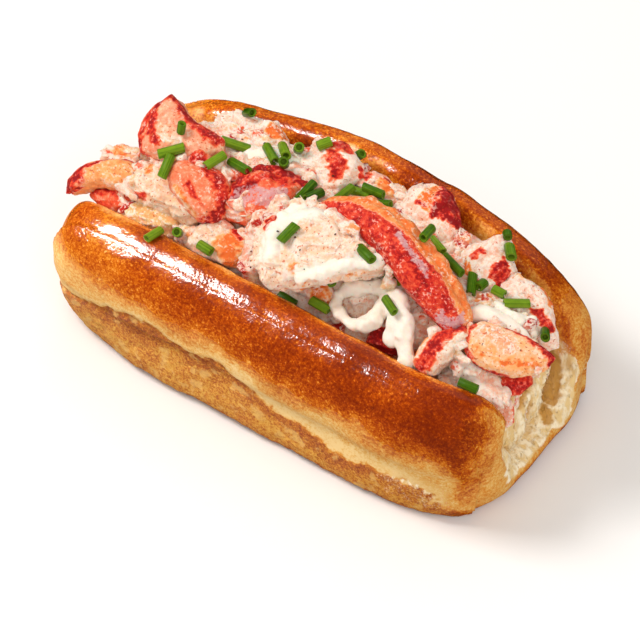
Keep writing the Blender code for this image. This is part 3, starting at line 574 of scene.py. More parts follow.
# A piece is a snow-coloured cut unless it says otherwise. Strokes start with their reach, beads with their
# half size and creases with their reach and height. All that lies inside an area is painted.
lobster = dict(
    claw_tip=dict(
        tone="white", texture="claw", blush=0.2, amber=0.4, spice=0.9,
        orange=[(area, (-52, 5, 66), (-55, 1, 63), (-56, -3, 61), (-55, -6, 58), (-53, -9, 55), (-49, -8, 59),
         (-52, -5, 61), (-53, -1, 64))],
        red=[(1.4, (-52, 5, 66), (-54, 1, 64), (-53, -3, 63), (-52, -6, 61), (-49, -7, 60)),
         (2.6, (-43, 2, 63), (-39, 2, 63), (-35, 1, 62)),
         (1.8, (-54, -2, 62), (-54, -7, 57), (-51, -9, 55))],
        deep=[(2.3, (-52, 5, 66), (-50, 5, 64), (-46, 3, 64), (-43, 2, 63))],
        pale=[(2, (-48, -4, 61), (-43, -4, 60))]),
    claw_body=dict(
        tone="peach", texture="claw", grow=0.8, blush=0.3, amber=0.9,
        beads=[(2.8, (-40, -1, 57), (-36, -4, 57), (-32, -7, 56), (-28, -9, 55)),
         (2.3, (-40, -8, 54), (-36, -12, 53))],
        red=[(2.3, (-38, -5, 60), (-32, -7, 60), (-27, -8, 59), (-24, -11, 56)),
         (1.2, (-33, -14, 58), (-28, -15, 55))],
        deep=[(2.2, (-22, -8, 55), (-23, -11, 54), (-24, -14, 52), (-26, -15, 50))],
        orange=[(3.4, (-40, -10, 59), (-35, -13, 59), (-30, -15, 56.5), (-27, -16, 54))],
        pale=[(1.6, (-36, -16, 56), (-32, -16.5, 54), (-29, -16, 52)),
         (1.2, (-40, -11, 55), (-38, -13, 54))]),
    pincer=dict(
        tone="peach", texture="claw", amber=0.5, spice=0.9,
        deep=[(2.2, (-70, -23, 39), (-69, -22, 41), (-68, -21, 43), (-67, -19, 46))],
        red=[(0.9, (-67, -17, 47), (-64, -15, 49), (-60, -11, 49), (-56, -9, 50), (-52, -8, 49))],
        pale=[(1.6, (-58, -17, 47), (-53, -14, 47))]),
    under_pincer=dict(
        tone="pink", blush=0.45, red=[(1.5, (-63, -18, 41), (-59, -17, 43), (-53, -15, 43))],
        orange=[(2, (-53, -18, 43), (-51, -17, 41))]),
    back_chunk=dict(tone="cream", texture="chunk", orange=[(1.6, (-63, -5, 46), (-60, -8, 47))]),
    knuckle=dict(
        tone="white", texture="chunk", amber=0.16, spice=0.8,
        beads=[(2.2, (-48, -11, 51), (-43, -11, 51), (-38, -12, 50)), (2.2, (-37, -14, 47), (-33, -14, 46))],
        red=[(1.3, (-50, -16, 46), (-46, -18, 49))],
        orange=[(1.3, (-48, -12, 53), (-47, -8, 52)), (1, (-42, -10, 52), (-39, -11, 52))]),
    # a yellow-brown tone: the meat's own buttery colour, with painted shade in it
    flaky_meat=dict(tone="butterAndShade", texture="flake"),
    white_bits=dict(tone="white", texture="flake"),
    near_chunk=dict(
        tone="white", amber=0.12,
        orange=[(1.2, (-25, -11, 47), (-19, -13, 48), (-15, -16, 48), (-13, -18, 43)),
         (2.8, (-18, -18, 47), (-15, -19, 44))],
        red=[(0.8, (-21, -12, 48), (-15, -15, 48))]),
    # a piece painted deep red all over: the near chunk's red lower side, darkened with painted shade where it
    # lies in shadow
    dark_chunk=dict(tone="ruby", blush=0.75, deep=[(6, (-13, -15, 43))]),
    white_chunk=dict(
        texture="chunk",
        orange=[(0.6, (-31, 13, 55), (-29, 15, 55)),
         (area, (-29, 19, 56), (-28, 21, 54), (-24, 19, 53), (-23, 17, 54), (-26, 15, 55),
         (-29, 17, 56))]),
    white_mass=dict(texture="chunk", dressing=[(3, (-27, 6, 55), (-20, 8, 57), (-14, 9, 56))]),
    folded_claw=dict(
        tone="pink", amber=0.1, grow=0.6, blush=0.42,
        beads=[(1.5, (-24, -9, 48), (-23, -8, 53), (-22, -6, 56.4), (-22, -1, 57), (-20, 2, 57.4),
         (-15, 4, 57.4), (-8, 5, 56.4))],
        deep=[(1.8, (-24, -9, 48), (-23, -8, 54), (-22, -6, 57.5), (-22, -1, 58.5), (-20, 2, 59),
         (-15, 4, 59), (-8, 5, 58))],
        red=[(1.8, (-21, -9, 56), (-20, -4, 59), (-16, 0, 59), (-10, 2, 58))],
        orange=[(2.2, (-17, -9, 55), (-13, -6, 56), (-9, -1, 57))],
        marble=[(2.4, (-20, -9, 55), (-18, -6, 57), (-13, -5, 57), (-10, -3, 58))],
        pale=[(1.5, (-21, -12, 52), (-16, -12, 52), (-10, -8, 52))],
        creases=[(2.2, -1.3, (-20, -10, 54), (-19, -5, 58), (-16, -1, 59), (-10, 2, 58))]),
    speckled_chunk=dict(
        red=[(2.1, (-8, 20, 60), (-5, 21, 58), (-7, 24, 58)), (2, (-7, 17, 59), (-4, 16, 59), (-3, 13, 58)),
         (0.9, (1, 19, 56), (2, 18, 55))]),
    striped_meat=dict(
        tone="pink", red=[(1.1, (1, 21, 53), (4, 19, 55)), (0.6, (8, 21, 55), (13, 22, 53))],
        orange=[(1.8, (9, 19, 55), (14, 20, 54))]),
    curved_leg=dict(
        tone="peach", texture="leg", amber=0.8,
        beads=[(2.2, (14, 4, 62.5), (21, 4, 63), (28, 3, 62), (34, 2, 60), (39, 1, 57.5), (44, -1, 55),
         (49, -3, 52), (52, -6, 50))],
        halves=((2, -1), (9, 0), (14, 1), (21, 0), (27, 0), (32, -1), (37, -2), (42, -3), (46, -5), (51, -7),
         (53, -8)),
        deep=[(1.6, (34, -5, 62), (39, -7, 60), (44, -8, 56), (48, -9, 52))],
        marble=[(1.2, (28, -2, 65), (33, -4, 63), (37, -5, 62), (40, -6, 60)),
         (1.9, (48, -11, 53), (51, -11, 51), (52, -8, 52))],
        creases=[(1, -0.5, (9, 0, 64), (14, 1, 65), (21, 0, 66), (27, 0, 65), (32, -1, 64), (37, -2, 62),
         (42, -3, 59), (46, -5, 57), (51, -7, 54))]),
    cube_chunk=dict(
        deep=[(area, (22.5, 28, 57), (26, 27, 55), (29, 26, 48), (32, 24, 46), (34, 18, 54), (27, 16.5, 56),
         (25, 22, 58))],
        orange=[(area, (20, 19, 56), (22, 26, 56), (25, 22, 57), (27, 17, 55), (23, 17, 56))],
        red=[(0.8, (21, 18, 56), (23, 18, 56))]),
    middle_chunk=dict(texture="chunk"),
    square_chunk=dict(
        red=[(area, (41, 13, 52), (44, 16, 54), (45, 15, 53), (43, 12, 52)),
         (area, (48, 14, 52), (50, 17, 53), (53, 15, 50), (52, 17, 43), (53, 12, 46), (49, 11, 50))],
        orange=[(1.1, (41, 11, 51), (44, 9, 50))]),
    end_chunk=dict(
        red=[(area, (63, 10, 47), (66, 12, 47), (69, 11, 45), (71, 11, 43), (71, 8, 43), (67, 8.5, 45))],
        orange=[(1.1, (62, 18, 47), (66, 15, 46)), (1.2, (54, 16, 49), (58, 17, 48))]),
    oval_slice=dict(
        tone="peach", texture="slice", amber=0.33, spice=1.4,
        red=[(1.7, (57, -3, 49), (62, -1.5, 50), (70, -1, 49), (77, -1, 47)),
         (0.9, (57, -12, 48), (56, -7, 51), (57, -3, 49)),
         (1.2, (77, -3, 45), (72, -6, 42), (68, -12, 43), (61, -14, 44), (57, -12, 48))],
        deep=[(1.5, (75, -1, 47.5), (77, -1, 47), (78, -2, 46))],
        orange=[(1.5, (58, -11, 48), (64, -11, 46), (69, -9, 46), (75, -5, 46)),
         (1.2, (66, -3, 49), (72, -3, 47))],
        pale=[(2.4, (59, -7, 51), (62, -6, 52), (67, -6, 49))]),
    wedge=dict(
        tone="white", amber=0.1,
        red=[(2.2, (54, -8, 51), (52, -10, 51), (51, -13, 50), (50.5, -16, 48.5), (50, -19, 46.5),
         (49, -21, 44))],
        orange=[(1.4, (46, -15, 47), (46, -18, 44))]),
    under_slice=dict(
        tone="pink", texture="slice", deep=[(1.5, (69, -7, 31), (73, -5, 35))],
        red=[(3, (69, -9, 37), (73, -5, 36))]),
    low_pink=dict(tone="pink", texture="chunk", red=[(0.9, (67, -8, 29), (71, -9, 25))]),
    # deep red all over: a shelf of red meat low under the white sheet, darkened with painted shade
    red_shelf=dict(tone="ruby", blush=0.75, deep=[(6, (34, -17, 40))]),
    shredded_meat=dict(
        texture="chunk", beads=[(3, (55, -12, 41), (59, -12, 40), (62, -13, 37), (66, -13, 34))],
        dressing=[(2.6, (55, -15, 42), (58, -15, 40), (62, -15, 38), (65, -15, 35))]),
    orange_chunk=dict(tone="pink", orange=[(2.4, (10, -14, 45), (13, -17, 43))]),
    dressed_mass=dict(
        texture="shreds", amber=0.14, spice=0.6,
        beads=[(2.2, (4, -4, 60), (-2, -6, 60), (-3, -11, 60), (-2, -17, 59), (1, -22, 56)),
         (1.7, (10, -22, 55), (15, -18.5, 57), (19, -14.5, 58), (24, -10.5, 59), (26, -6, 58.5)),
         (1.5, (-3, -23, 54), (1, -24.5, 53), (5, -22.5, 55)),
         (1.2, (11, -20, 57), (7, -21, 56), (5, -23, 54), (2, -24.5, 51))],
        red=[(area, (-8, -13, 58), (-5, -10, 59), (-3, -14, 62), (-4, -18, 59)),
         (0.7, (14, -13, 60), (15, -12, 60))],
        dressing=[(3.6, (7, -3, 62), (3, -6, 63), (-1, -10, 62), (-1, -14, 62), (-2, -18, 60), (-1, -21, 58)),
         (2.3, (10, -22, 56), (15, -19, 58), (19, -15, 59), (24, -11, 60), (26, -6, 60))],
        orange=[(1.6, (8, -22, 57), (10, -22, 55), (9, -17, 46)), (1.8, (14, -17, 46), (13, -16, 44)),
         (0.9, (20, -14, 56), (23, -12, 56))]),
    cream_strand=dict(
        texture="strand",
        beads=[(1.1, (48, 6, 45), (52, 6, 47), (58, 5, 48), (64, 5, 47)),
         (0.9, (56, 3, 48), (61, 5, 48), (66, 8, 46))]),
    white_sheet=dict(  # a thin sheet of white meat with a hole in it and one arm hanging down
        texture="strand", stands=("strand_loop", "strand_arm"),
        beads=[(2.1, (17, -14, 45), (19, -12, 47), (23, -10, 48), (27, -8, 48.5), (32, -7.5, 49.5)),
         (1.6, (17, -14, 45), (18, -17, 44), (21, -19, 44), (25, -20, 44), (29, -19, 44.5)),
         (2.2, (29, -9, 47.5), (30.5, -13, 47), (30.5, -17, 46), (29, -19, 45)),
         (2.6, (32, -8, 49), (35, -11, 50), (38, -14, 48), (40, -17, 46), (42, -19, 44), (44, -21, 42)),
         (2.3, (32, -10, 48), (34.5, -13, 48), (36.5, -16, 46.5), (37, -18, 44))],
        orange=[(0.6, (22, -11, 49), (27, -9, 50))]),
)
meatVoxel = 0.38
meatMasks = ("deep", "red", "orange", "marble", "dressing")


def tintOf(piece, colours):  # one colour or a colour on each point, read by the lobster's material
    full = np.ones((len(piece.data.vertices), 4), np.float32)
    full[:, :3] = colours
    tint = piece.data.attributes.new("flesh", "FLOAT_COLOR", "POINT")
    tint.data.foreach_set("color", full.reshape(-1))


def colourPiece(piece, halves=None, blush=0, amber=0, spice=0, dressed=0, **strokes):
    points = readPoints(piece)
    wander = lumps(points, 1.5, 3) + lumps(points, 0.7, 11) * 0.6
    for kind in meatMasks + ("pale",):
        paint(piece, kind, strokes.get(kind, ()), wander)
    red, orange = readMask(piece, "red") * 0.8, readMask(piece, "orange")
    if halves:  # the side towards -Y of this line is red
        line = np.array(halves, float)
        half = step(0.35, -0.35, points[:, 1] - np.interp(points[:, 0], *line.T) + wander * 0.7)
        red, orange = np.maximum(red, half * 0.72), orange * (1 - half)
    clean = 1 - readMask(piece, "pale")
    red = np.maximum(np.maximum(readMask(piece, "deep"), red), blush * clean)
    orange = np.maximum(orange, amber * clean)
    dressing = np.maximum(readMask(piece, "dressing"), dressed)
    writeMasks(piece, red=red, orange=orange, spice=spice, dressing=dressing)


def lobsterPiece(node, tone="snow", texture="cut", grow=None, stands=None, beads=(), creases=(), **marks):
    relax, growth, fibres, layers = textures[texture]
    beads = bitsOf(smallBall, beadPlaces(beads), 0.25)
    cores = [] if stands else [copyOfNode(node, node + "_meat")]
    piece = rounded(joined(beads + cores, node + "_meat"), meatVoxel, relax)
    push(piece, grow or growth)
    colourPiece(piece, dressed=0.7 if texture == "strand" else 0, **marks)
    tintOf(piece, flesh[tone])
    points = readPoints(piece)
    smooth = 1 - readMask(piece, "dressing") * 0.85
    spread = points - points.mean(0)
    long = np.linalg.eigh(spread.T @ spread)[1][:, 2]  # the way the piece is longest
    roughen(piece, layers, 5, 7, smooth)
    crests = ridges(readPoints(piece), 2.4, 2, long, 3.5) - 0.5
    push(piece, crests * fibres * smooth)
    writeMasks(piece, fibre=0.5 + crests * min(1, fibres * 2))
    for reach, height, *stroke in creases:
        push(piece, step(reach, 0, nearStroke(readPoints(piece), stroke)) * height)
    stands = stands or (node,)
    dress(piece, lobsterMeat, slotOf[stands[0]], *stands)
    return piece


def lobsterFinish(name, depth):  # depth is how far light gets into it
    meat = Finish(name)
    red, orange, marble, dressing, spice, fibre = meat.masks(
        "red", "orange", "marble", "dressing", "spice", "fibre")
    blotch, sponge, fine = meat.grain(2.4, 3), meat.grain(0.95, 2, 0.6), meat.grain(0.5, 1)
    patchy, sandy = blotch - 0.5, fine - 0.5
    relief = (fibre - 0.5) * 0.5 + (sponge - 0.5) * 2 + sandy * 0.8  # above 0 on the crests
    meat.colour = meat.masks("flesh", output="Color")[0]
    meat.cover((0.9, 0.46, 0.31), 0.5, 0.64, meat.grain(3.5, 3), 0.5)
    # painted shade: between the crests, where the relief is below 0, the colour is darkened and warmed
    meat.cover(meat.mix(1, meat.colour, (1, 0.74, 0.62), "MULTIPLY"), -0.02, -0.4, relief, 0.8)
    meat.cover((0.94, 0.81, 0.71), -0.06, 0.24, relief, 0.7)
    # painted shade as well: the orange and the red are deepened where the relief is low
    amber = orange * (1 + patchy * 1.6 + sandy * 0.5 - relief * 0.7)
    warm = meat.ramp(amber, (0.12, (0.93, 0.64, 0.42)), (0.45, (0.92, 0.4, 0.14)), (1, (0.84, 0.17, 0.03)))
    meat.cover(warm, 0.02, 0.3, amber)
    scarlet = red * (1 + patchy * 1.5 + sandy * 0.5 - relief * 0.7)
    hot = meat.ramp(
        scarlet, (0.1, (0.93, 0.5, 0.35)), (0.3, (0.89, 0.24, 0.11)), (0.5, (0.83, 0.105, 0.04)),
        (0.76, (0.64, 0.026, 0.015)), (1, (0.32, 0.008, 0.009)))
    meat.cover(hot, 0.02, 0.24, scarlet)
    meat.cover((0.62, 0.36, 0.37), 0.2, 0.8, marble * (1 + patchy * 2.5 + relief * 1.4), 0.8)
    flecks = relief + (meat.grain(2.8, 2) - 0.5) * 1.2
    meat.cover((0.95, 0.76, 0.64), 0.16, 0.42, flecks, 0.3 + orange * 0.3 - red * 0.22)
    specks = meat.rise(0.63, 0.7, meat.grain(0.75, 1))
    specks = specks * meat.rise(0.47, 0.58, meat.grain(4, 2) + spice * 0.16)
    meat.colour = meat.mix(specks * 0.8 * (1 - dressing), meat.colour, (0.62, 0.11, 0.025))
    meat.cover((0.95, 0.85, 0.73), 0.1, 0.9, dressing)
    calm = 1 - dressing * 0.85
    return meat.finished(
        Base_Color=meat.colour, Roughness=0.4 + patchy * 0.4 - dressing * 0.1, Specular_IOR_Level=0.3,
        Normal=meat.bumps((blotch * calm, 0.3), (sponge * calm, 0.22), (fine * calm, 0.06)),
        Subsurface_Weight=depth, Subsurface_Radius=(2.5 * mm, 1 * mm, 0.6 * mm), Subsurface_Scale=1)


lobsterMeat = lobsterFinish("lobster meat", 0.32)
slotOf = {part["node"]: part["material_slot"] for part in frame["record"]["subparts"]}
smallBall = ballShape(2)
meatPieces = [lobsterPiece(node, **about) for node, about in lobster.items()]
print("lobster pieces done:", sum(len(p.data.vertices) for p in meatPieces), "points")


# the salad under and between them

salad = {
    "seed": 5,
    "voxel": 0.48,
    "thinned": 0.58,  # share of its faces that stays
    "waves": ((2.4, 0.45), (1.1, 0.2)),  # (size, height) of its unevenness
    "crumbs": 560,  # small pieces of meat all over it
    "size": (0.9, 2.2),  # their half sizes, from and to
    "sunk": (-0.5, 0.25),  # how deep they sit or how far they stand out, in their own sizes
    "gap": 5,  # gaps up to twice this wide are filled
    "filled": 0.34,  # share of the places in a gap that get a stack of bits
    "below": 0.4,  # how far the filling stays below the pieces round it
    "open": ((9, -24), (47, -9)),  # x and y of the place that stays open, under the white sheet
    "colours": (  # how often each tint is drawn
        ("snow", 9), ("white", 4), ("cream", 1), ("pink", 5), ("apricot", 2), ("coral", 2), ("ruby", 1)),
}


def gapPlaces(chance, under):  # bits of meat stacked in the gaps between the pieces
    surface = lookUp(under)
    across, along = np.arange(-70, 78), np.arange(-28, 34)
    height = np.zeros((len(across), len(along)))
    for i, x in enumerate(across.tolist()):
        for j, y in enumerate(along.tolist()):
            hit = dropOn(surface, x, y)[0]
            height[i, j] = hit.z if hit else 0
    reach = range(-salad["gap"], salad["gap"] + 1)
    disc = [(i, j) for i in reach for j in reach if i * i + j * j <= salad["gap"] ** 2]
    closed = np.max([np.roll(height, way, (0, 1)) for way in disc], 0)
    closed = np.min([np.roll(closed, way, (0, 1)) for way in disc], 0)
    (lowX, lowY), (highX, highY) = salad["open"]
    places = []
    for i, j in np.argwhere((closed - height > 1.2) & (height > 30)).tolist():
        x, y = across[i] + chance.uniform(-0.5, 0.5), along[j] + chance.uniform(-0.5, 0.5)
        if chance.random() > salad["filled"] or (lowX < x < highX and lowY < y < highY):
            continue
        top = closed[i, j] - salad["below"]
        z = height[i, j]
        while z < top:
            size = chance.uniform(*salad["size"])
            places.append(unevenBit(chance, Vector((x, y, min(z, top - size * 0.6))), size))
            z += size * 1.3
    return places


def crumbPlaces(chance, core):
    surface = lookUp([core])
    low, high = (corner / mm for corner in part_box("lobster_salad"))
    places = []
    while len(places) < salad["crumbs"]:
        x, y = chance.uniform(low.x + 1, high.x - 1), chance.uniform(low.y + 1, high.y - 1)
        hit = dropOn(surface, x, y)[0]
        if hit and hit.z > 12:
            size = chance.uniform(*salad["size"])
            sunk = Vector((0, 0, size * chance.uniform(*salad["sunk"])))
            places.append(unevenBit(chance, hit + sunk, size))
    return places


def saladHeap():
    chance = random.Random(salad["seed"])
    core = copyOfNode("lobster_salad", "salad_core")
    places = gapPlaces(chance, [core] + meatPieces)
    places += crumbPlaces(chance, core)
    heap = rounded(joined(bitsOf(smallBall, places, 0.6) + [core], "salad_heap"), salad["voxel"], 3)
    roughen(heap, salad["waves"], 40, 9)

    points = readPoints(heap)
    tree = KDTree(len(places))
    for k, (middle, sizes, turn) in enumerate(places):
        tree.insert(middle, k)
    tree.balance()
    names = repeated(salad["colours"])
    tints = [flesh[chance.choice(names)] for _ in places]
    nearest = [tree.find(Vector(point))[1:] for point in points.tolist()]
    tintOf(heap, [tints[k] if far < places[k][1][0] * 1.2 else flesh["white"] for k, far in nearest])
    crests = ridges(points, 1.8, 2, (1, 0.4, 0), 2.5)
    push(heap, (crests - 0.5) * 0.3)
    writeMasks(heap, fibre=crests, spice=0, **dict.fromkeys(meatMasks, 0))
    addModifier(heap, "DECIMATE", ratio=salad["thinned"])
    dress(heap, lobsterMeat, "lobster_salad", "lobster_salad")
    return heap


heap = saladHeap()
print("salad done:", len(heap.data.vertices), "points")


# loose fibres of meat and ground pepper on top

loose = {
    "seed": 11,
    "views": (  # the ways that they fall, and how often
        ((0, 0, -1), 3), ((0, 0.8, -0.6), 2), ((0, -0.8, -0.6), 1), ((-0.8, 0.2, -0.6), 1),
        ((0.8, 0, -0.6), 1)),
    "aims": ((-70, 76), (-24, 28), (36, 60)),  # x, y and z of what they fall towards
    "lowest": 28,
    "fibres": 240, "fibreLong": (0.7, 1.6), "fibreWide": (0.2, 0.34),  # half sizes
    "grains": 80, "grainSize": (0.1, 0.24), "cornSizes": (0.38, 0.32, 0.26),
    "corns": (  # x and y of each corn
        (-10, -17), (4, -16), (-1, -17), (7, -18), (-8, -20), (13, -10), (-3, 12), (-26, 12), (-32, 10)),
}


def scatterLoose(under):
    chance = random.Random(loose["seed"])
    surface, colourThere = lookUp(under), []
    for piece in under:
        coloured = np.max([readMask(piece, kind) for kind in ("red", "orange", "dressing")], 0)
        colourThere += [coloured[face.vertices[0]] for face in piece.data.polygons]
    views = [Vector(way).normalized() for way in repeated(loose["views"])]

    def spots(count, mostColour):
        found = []
        while len(found) < count:
            view = chance.choice(views)
            aim = Vector([chance.uniform(*ends) for ends in loose["aims"]])
            hit = surface.ray_cast(aim - view * overAll, view)
            if hit[0] is not None and hit[0].z > loose["lowest"] and colourThere[hit[2]] < mostColour:
                found.append((hit[0], hit[1]))
        return found

    fibres = []
    for spot, normal in spots(loose["fibres"], 0.2):
        lie = turned(chance, normal.to_track_quat("Z", "X").to_matrix(), 0.35, "Y")
        wide, long = chance.uniform(*loose["fibreWide"]), chance.uniform(*loose["fibreLong"])
        fibres.append((spot + normal * wide * 0.1, (long, wide, wide * 0.7), lie))
    threads = joined(bitsOf(tinyBall, fibres, 0.7), "loose_fibres")
    tintOf(threads, (0.94, 0.76, 0.62))
    writeMasks(threads, fibre=0.6)
    dress(threads, lobsterFinish("lobster fibres", 0), "pale_lobster")

    hits = [dropOn(surface, x, y)[0] for x, y in loose["corns"]]
    grains = [(hit, loose["cornSizes"], turned(chance)) for hit in hits if hit]
    for spot, normal in spots(loose["grains"], 2):
        size = chance.uniform(*loose["grainSize"])
        grains.append((spot, (size, size * 0.8, size * 0.7), turned(chance)))
    pepper = joined(bitsOf(tinyBall, grains, 0.8), "ground_pepper")
    dress(pepper, pepperFinish(), "lobster_salad")


def pepperFinish():
    dark = Finish("ground pepper")
    colour = dark.mix(dark.rise(0.4, 0.6, dark.grain(3, 2)), (0.025, 0.018, 0.012), (0.2, 0.055, 0.015))
    return dark.finished(Base_Color=colour, Roughness=0.5, Specular_IOR_Level=0.3)


tinyBall = ballShape(1)
scatterLoose([heap] + meatPieces)
for shape in (smallBall, tinyBall):
    bpy.data.objects.remove(shape)
print("fibres and pepper done")


# snipped chives

chives = {
    "seed": 3,
    "radius": 1.45,
    "bore": 0.62,  # share of the width that is hollow
    "deep": 0.4,  # how deep the hollow is at each end
    "sides": 16,
    "edge": 0.12,  # how far the cut edges are rounded
    "sink": 0.55,  # how far they press into what they lie on
    "touch": ((0, 0), (0.9, 0), (-0.9, 0), (0, 0.9), (0, -0.9)),  # x and y of where they feel for it
    # x, y, heading in degrees, length, how far one end is lifted in degrees, and the height it drops from
    "places": (
        (-36, 18, -29, 4.5, 35), (-43, -3, 94, 3, 50), (-43, -8, 52, 7.5), (-41, -12, 85, 7),
        (-32, 6, 35, 8.5), (-31, -4, 71, 6.5), (-25, -1, -14, 7), (-21, 8, -37, 7.5), (-19, 11, -47, 6.5, 15),
        (-16, 14, -55, 4, 55), (-15, 6, -55, 4, 60), (-5, 2, 88, 7.8), (-2, 1, 84, 7), (-10, 18, 55, 4),
        (2, -16, 77, 6.2), (-37, -25, 78, 5.3), (-32, -20, -50, 3.5, 55), (-22, -22, -5, 4.5),
        (3, -18, -6, 5.5, 0, 42), (14, -14, -32, 4.4, 0, 49), (14, -18, -5, 6, 0, 44), (-4, 25, -55, 3.5, 60),
        (2, 9, 82, 7.3), (5, 14, 2, 5.6), (8, 16, 5, 6.4), (12, 13, 15, 6.4), (33, 4, 95, 6),
        (32, 11, -21, 5.6), (23, -10, -23, 6.4), (40, 7, -19, 7.7), (28, -5, -11, 7.6, 0, 54),
        (47, 6, 118, 6.1), (49, 7, 85, 2.8), (47, 22, -48, 1.9), (50, 19, -50, 4.4, 15), (56, 22, 26, 6),
        (60, 8, 36, 7), (54, 8, 4, 3.8), (70, 7, -55, 4, 50), (34, -14, -30, 5.6), (63, -20, -1, 6),
    ),
}


def chiveTube():  # one tube along X, one millimetre long, with walls and a hollow at each end
    pick()
    bpy.ops.mesh.primitive_cylinder_add(
        vertices=chives["sides"], radius=chives["radius"] * mm, depth=1 * mm, rotation=(0, math.pi / 2, 0))
    bpy.ops.object.transform_apply(rotation=True)
    tube = bpy.context.object
    for side in (-1, 1):
        pickFaces(tube, lambda face: face.normal.x * side > 0.9)
        bpy.ops.mesh.inset(thickness=chives["radius"] * (1 - chives["bore"]) * mm)
        inwards = (-side * chives["deep"] * mm, 0, 0)
        bpy.ops.mesh.extrude_region_move(TRANSFORM_OT_translate={"value": inwards})
    pick(tube)
    return tube


def lyingPlace(surface, x, y, heading, length, lift=0, height=overAll):  # middle, along, across and up
    hits = [dropOn(surface, x + dx, y + dy, height) for dx, dy in chives["touch"]]
    hits = [hit for hit in hits if hit[0] is not None]
    normal = sum((h[1] if h[1].z > 0 else -h[1] for h in hits), Vector((0, 0, 1.5))).normalized()
    turn, lift = math.radians(heading), math.radians(lift)
    along = Vector((math.cos(turn), math.sin(turn), 0))
    along = (along - normal * along.dot(normal)).normalized()
    across = normal.cross(along)
    along = Matrix.Rotation(-lift, 3, across) @ along
    middle = Vector((x, y, max(h[0].z for h in hits))) + normal * (chives["radius"] - chives["sink"])
    middle += along * (length / 2 * math.sin(lift) * 0.8)
    return middle, along, across, along.cross(across)


def scatterChives(under):
    shape = chiveTube()
    surface = lookUp(under)
    chance = random.Random(chives["seed"])
    tubes = []
    for place in chives["places"]:
        middle, along, across, up = lyingPlace(surface, *place)
        tube = copyOf(shape)
        squash, bend = chance.uniform(0.84, 1.04), chance.uniform(-0.12, 0.12)
        size, spin, slant = chance.uniform(0.88, 1.04), chance.uniform(0, 6), chance.uniform(-0.3, 0.3)
        points = readPoints(tube)
        ring = np.arctan2(points[:, 2], points[:, 1])
        inner = np.hypot(points[:, 1], points[:, 2]) < chives["radius"] * 0.8
        flat = points[:, 1:] * size * (1, squash)
        flat = flat @ np.array(((math.cos(spin), math.sin(spin)), (-math.sin(spin), math.cos(spin))))
        far = points[:, 0] * place[3] + flat[:, 0] * slant  # the cuts aren't quite square
        sideways = flat[:, 0] + bend * far * far * 0.12
        spots = np.outer(far, along) + np.outer(sideways, across) + np.outer(flat[:, 1], up)
        writePoints(tube, spots + np.array(middle))
        writeMasks(tube, cut=inner, shade=chance.random())
        writeMasks(tube, -1, ringA=np.cos(ring), ringB=np.sin(ring))
        tubes.append(tube)
    bpy.data.objects.remove(shape)
    bunch = joined(tubes, "snipped_chives")
    pickAll(bunch)
    bpy.ops.mesh.normals_make_consistent(inside=False)
    addModifier(bunch, "BEVEL", width=chives["edge"] * mm, segments=2, limit_method="ANGLE",
                angle_limit=math.radians(50))
    dress(bunch, chiveFinish(), "lobster_salad")
    bpy.ops.object.shade_smooth_by_angle(angle=math.radians(40))


def chiveFinish():
    green = Finish("chive")
    cut, shade, ringA, ringB = green.masks("cut", "shade", "ringA", "ringB")
    ring = green.node("CombineXYZ", inputs={"X": ringA, "Y": ringB, "Z": shade * 9})
    ribs = green.node("TexNoise", inputs={"Vector": ring, "Scale": 4.5, "Detail": 2})
    level = ribs * 0.7 + shade * 0.4 + (green.grain(1.5, 2) - 0.5) * 0.3
    skin = green.ramp(
        level, (0.25, (0.022, 0.072, 0.001)), (0.5, (0.065, 0.155, 0.002)), (0.8, (0.2, 0.32, 0.012)))
    return green.finished(
        Base_Color=green.mix(cut * 0.45, skin, (0.2, 0.31, 0.02)), Roughness=0.34, Specular_IOR_Level=0.35,
        Normal=green.bumps((ribs, 0.12)), Subsurface_Weight=0.12,
        Subsurface_Radius=(0.8 * mm, 1.4 * mm, 0.4 * mm), Subsurface_Scale=1)


scatterChives([roll, heap] + meatPieces)
print("chives done")


# floor, light and camera

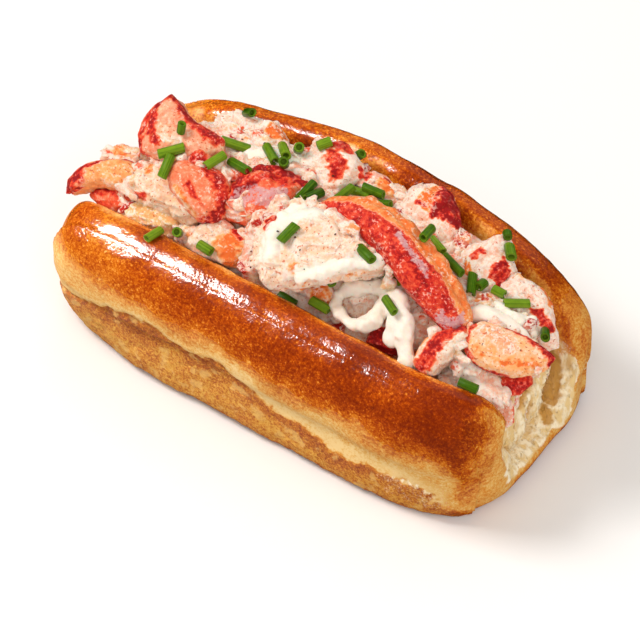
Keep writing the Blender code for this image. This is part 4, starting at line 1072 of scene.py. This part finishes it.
stage = {
    "floor": (0.93, 0.92, 0.91), "floorSize": 6,
    "azimuth": 35, "elevation": 48, "distance": 1.5, "lens": 304, "sensor": 36,
    "target": (0.001, 0, 0.012),
    "sky": (1, 0.985, 0.96), "skyStrength": 0.42, "lampColour": (1, 0.975, 0.94),
    "lamps": (  # name, what it is aimed at, direction, distance, size and power
        ("key", (0, 0, 0), (-0.56, -0.24, 0.81), 0.9, (0.32, 0.32), 5.3),
        ("window", (0, 0, 0), (-0.1, 0.75, 0.65), 1.1, (1.1, 1.1), 1.5),
        ("fill", (0, 0, 0), (0.5, -0.52, 0.7), 1.2, (0.8, 0.8), 4.7),
        ("side", (0, 0, 0), (0.9, 0.1, 0.4), 1.2, (0.7, 0.7), 2.6),
        ("strip", (-0.035, -0.032, 0.042), (-0.62, -0.24, 0.78), 0.9, (0.26, 0.12), 1.2),
        ("shine", (-0.033, -0.032, 0.042), (-0.62, -0.24, 0.78), 0.19, (0.075, 0.14), 2.2),
    ),
    "onGloss": ("window", "strip", "shine"),  # the lamps that gloss shows
    "onlyGloss": ("strip", "shine"),
}


def aim(thing, target, way, far):  # puts a lamp or the camera that far from its target, looking at it
    thing.location = Vector(target) + way * far
    thing.rotation_euler = (-way).to_track_quat("-Z", "Y").to_euler()


def makeFloor():
    pick()
    bpy.ops.mesh.primitive_plane_add(size=stage["floorSize"])
    floor = bpy.context.object
    floor.name = "floor"
    floor.visible_glossy = False
    pale = Finish("floor")
    floor.data.materials.append(pale.finished(Base_Color=(*stage["floor"], 1), Roughness=0.7))


def makeCamera():
    turn, rise = math.radians(stage["azimuth"]), math.radians(stage["elevation"])
    back = Vector((math.sin(turn) * math.cos(rise), -math.cos(turn) * math.cos(rise), math.sin(rise)))
    bpy.ops.object.camera_add()
    camera = bpy.context.object
    aim(camera, stage["target"], back, stage["distance"])
    camera.data.lens = stage["lens"]
    camera.data.sensor_width = stage["sensor"]
    camera.data.clip_start = 0.01
    bpy.context.scene.camera = camera


def makeLight():
    world = bpy.data.worlds.new("studio")
    world.use_nodes = True
    sky = world.node_tree.nodes["Background"].inputs
    sky["Color"].default_value = (*stage["sky"], 1)
    sky["Strength"].default_value = stage["skyStrength"]
    bpy.context.scene.world = world
    world.cycles_visibility.glossy = False  # only the lamps shine on gloss
    for name, target, toward, far, size, power in stage["lamps"]:
        bpy.ops.object.light_add(type="AREA")
        light = bpy.context.object
        light.name = name
        aim(light, target, Vector(toward).normalized(), far)
        light.data.shape = "RECTANGLE"
        light.data.size, light.data.size_y = size
        light.data.energy = power
        light.data.color = stage["lampColour"]
        light.visible_glossy = name in stage["onGloss"]
        light.visible_diffuse = name not in stage["onlyGloss"]
        light.visible_camera = False
        if name == "shine":  # for the roll alone
            lit = bpy.data.collections.new("shine")
            lit.objects.link(roll)
            light.light_linking.receiver_collection = lit
    bpy.context.scene.view_settings.view_transform = "Standard"


makeFloor()
makeCamera()
makeLight()
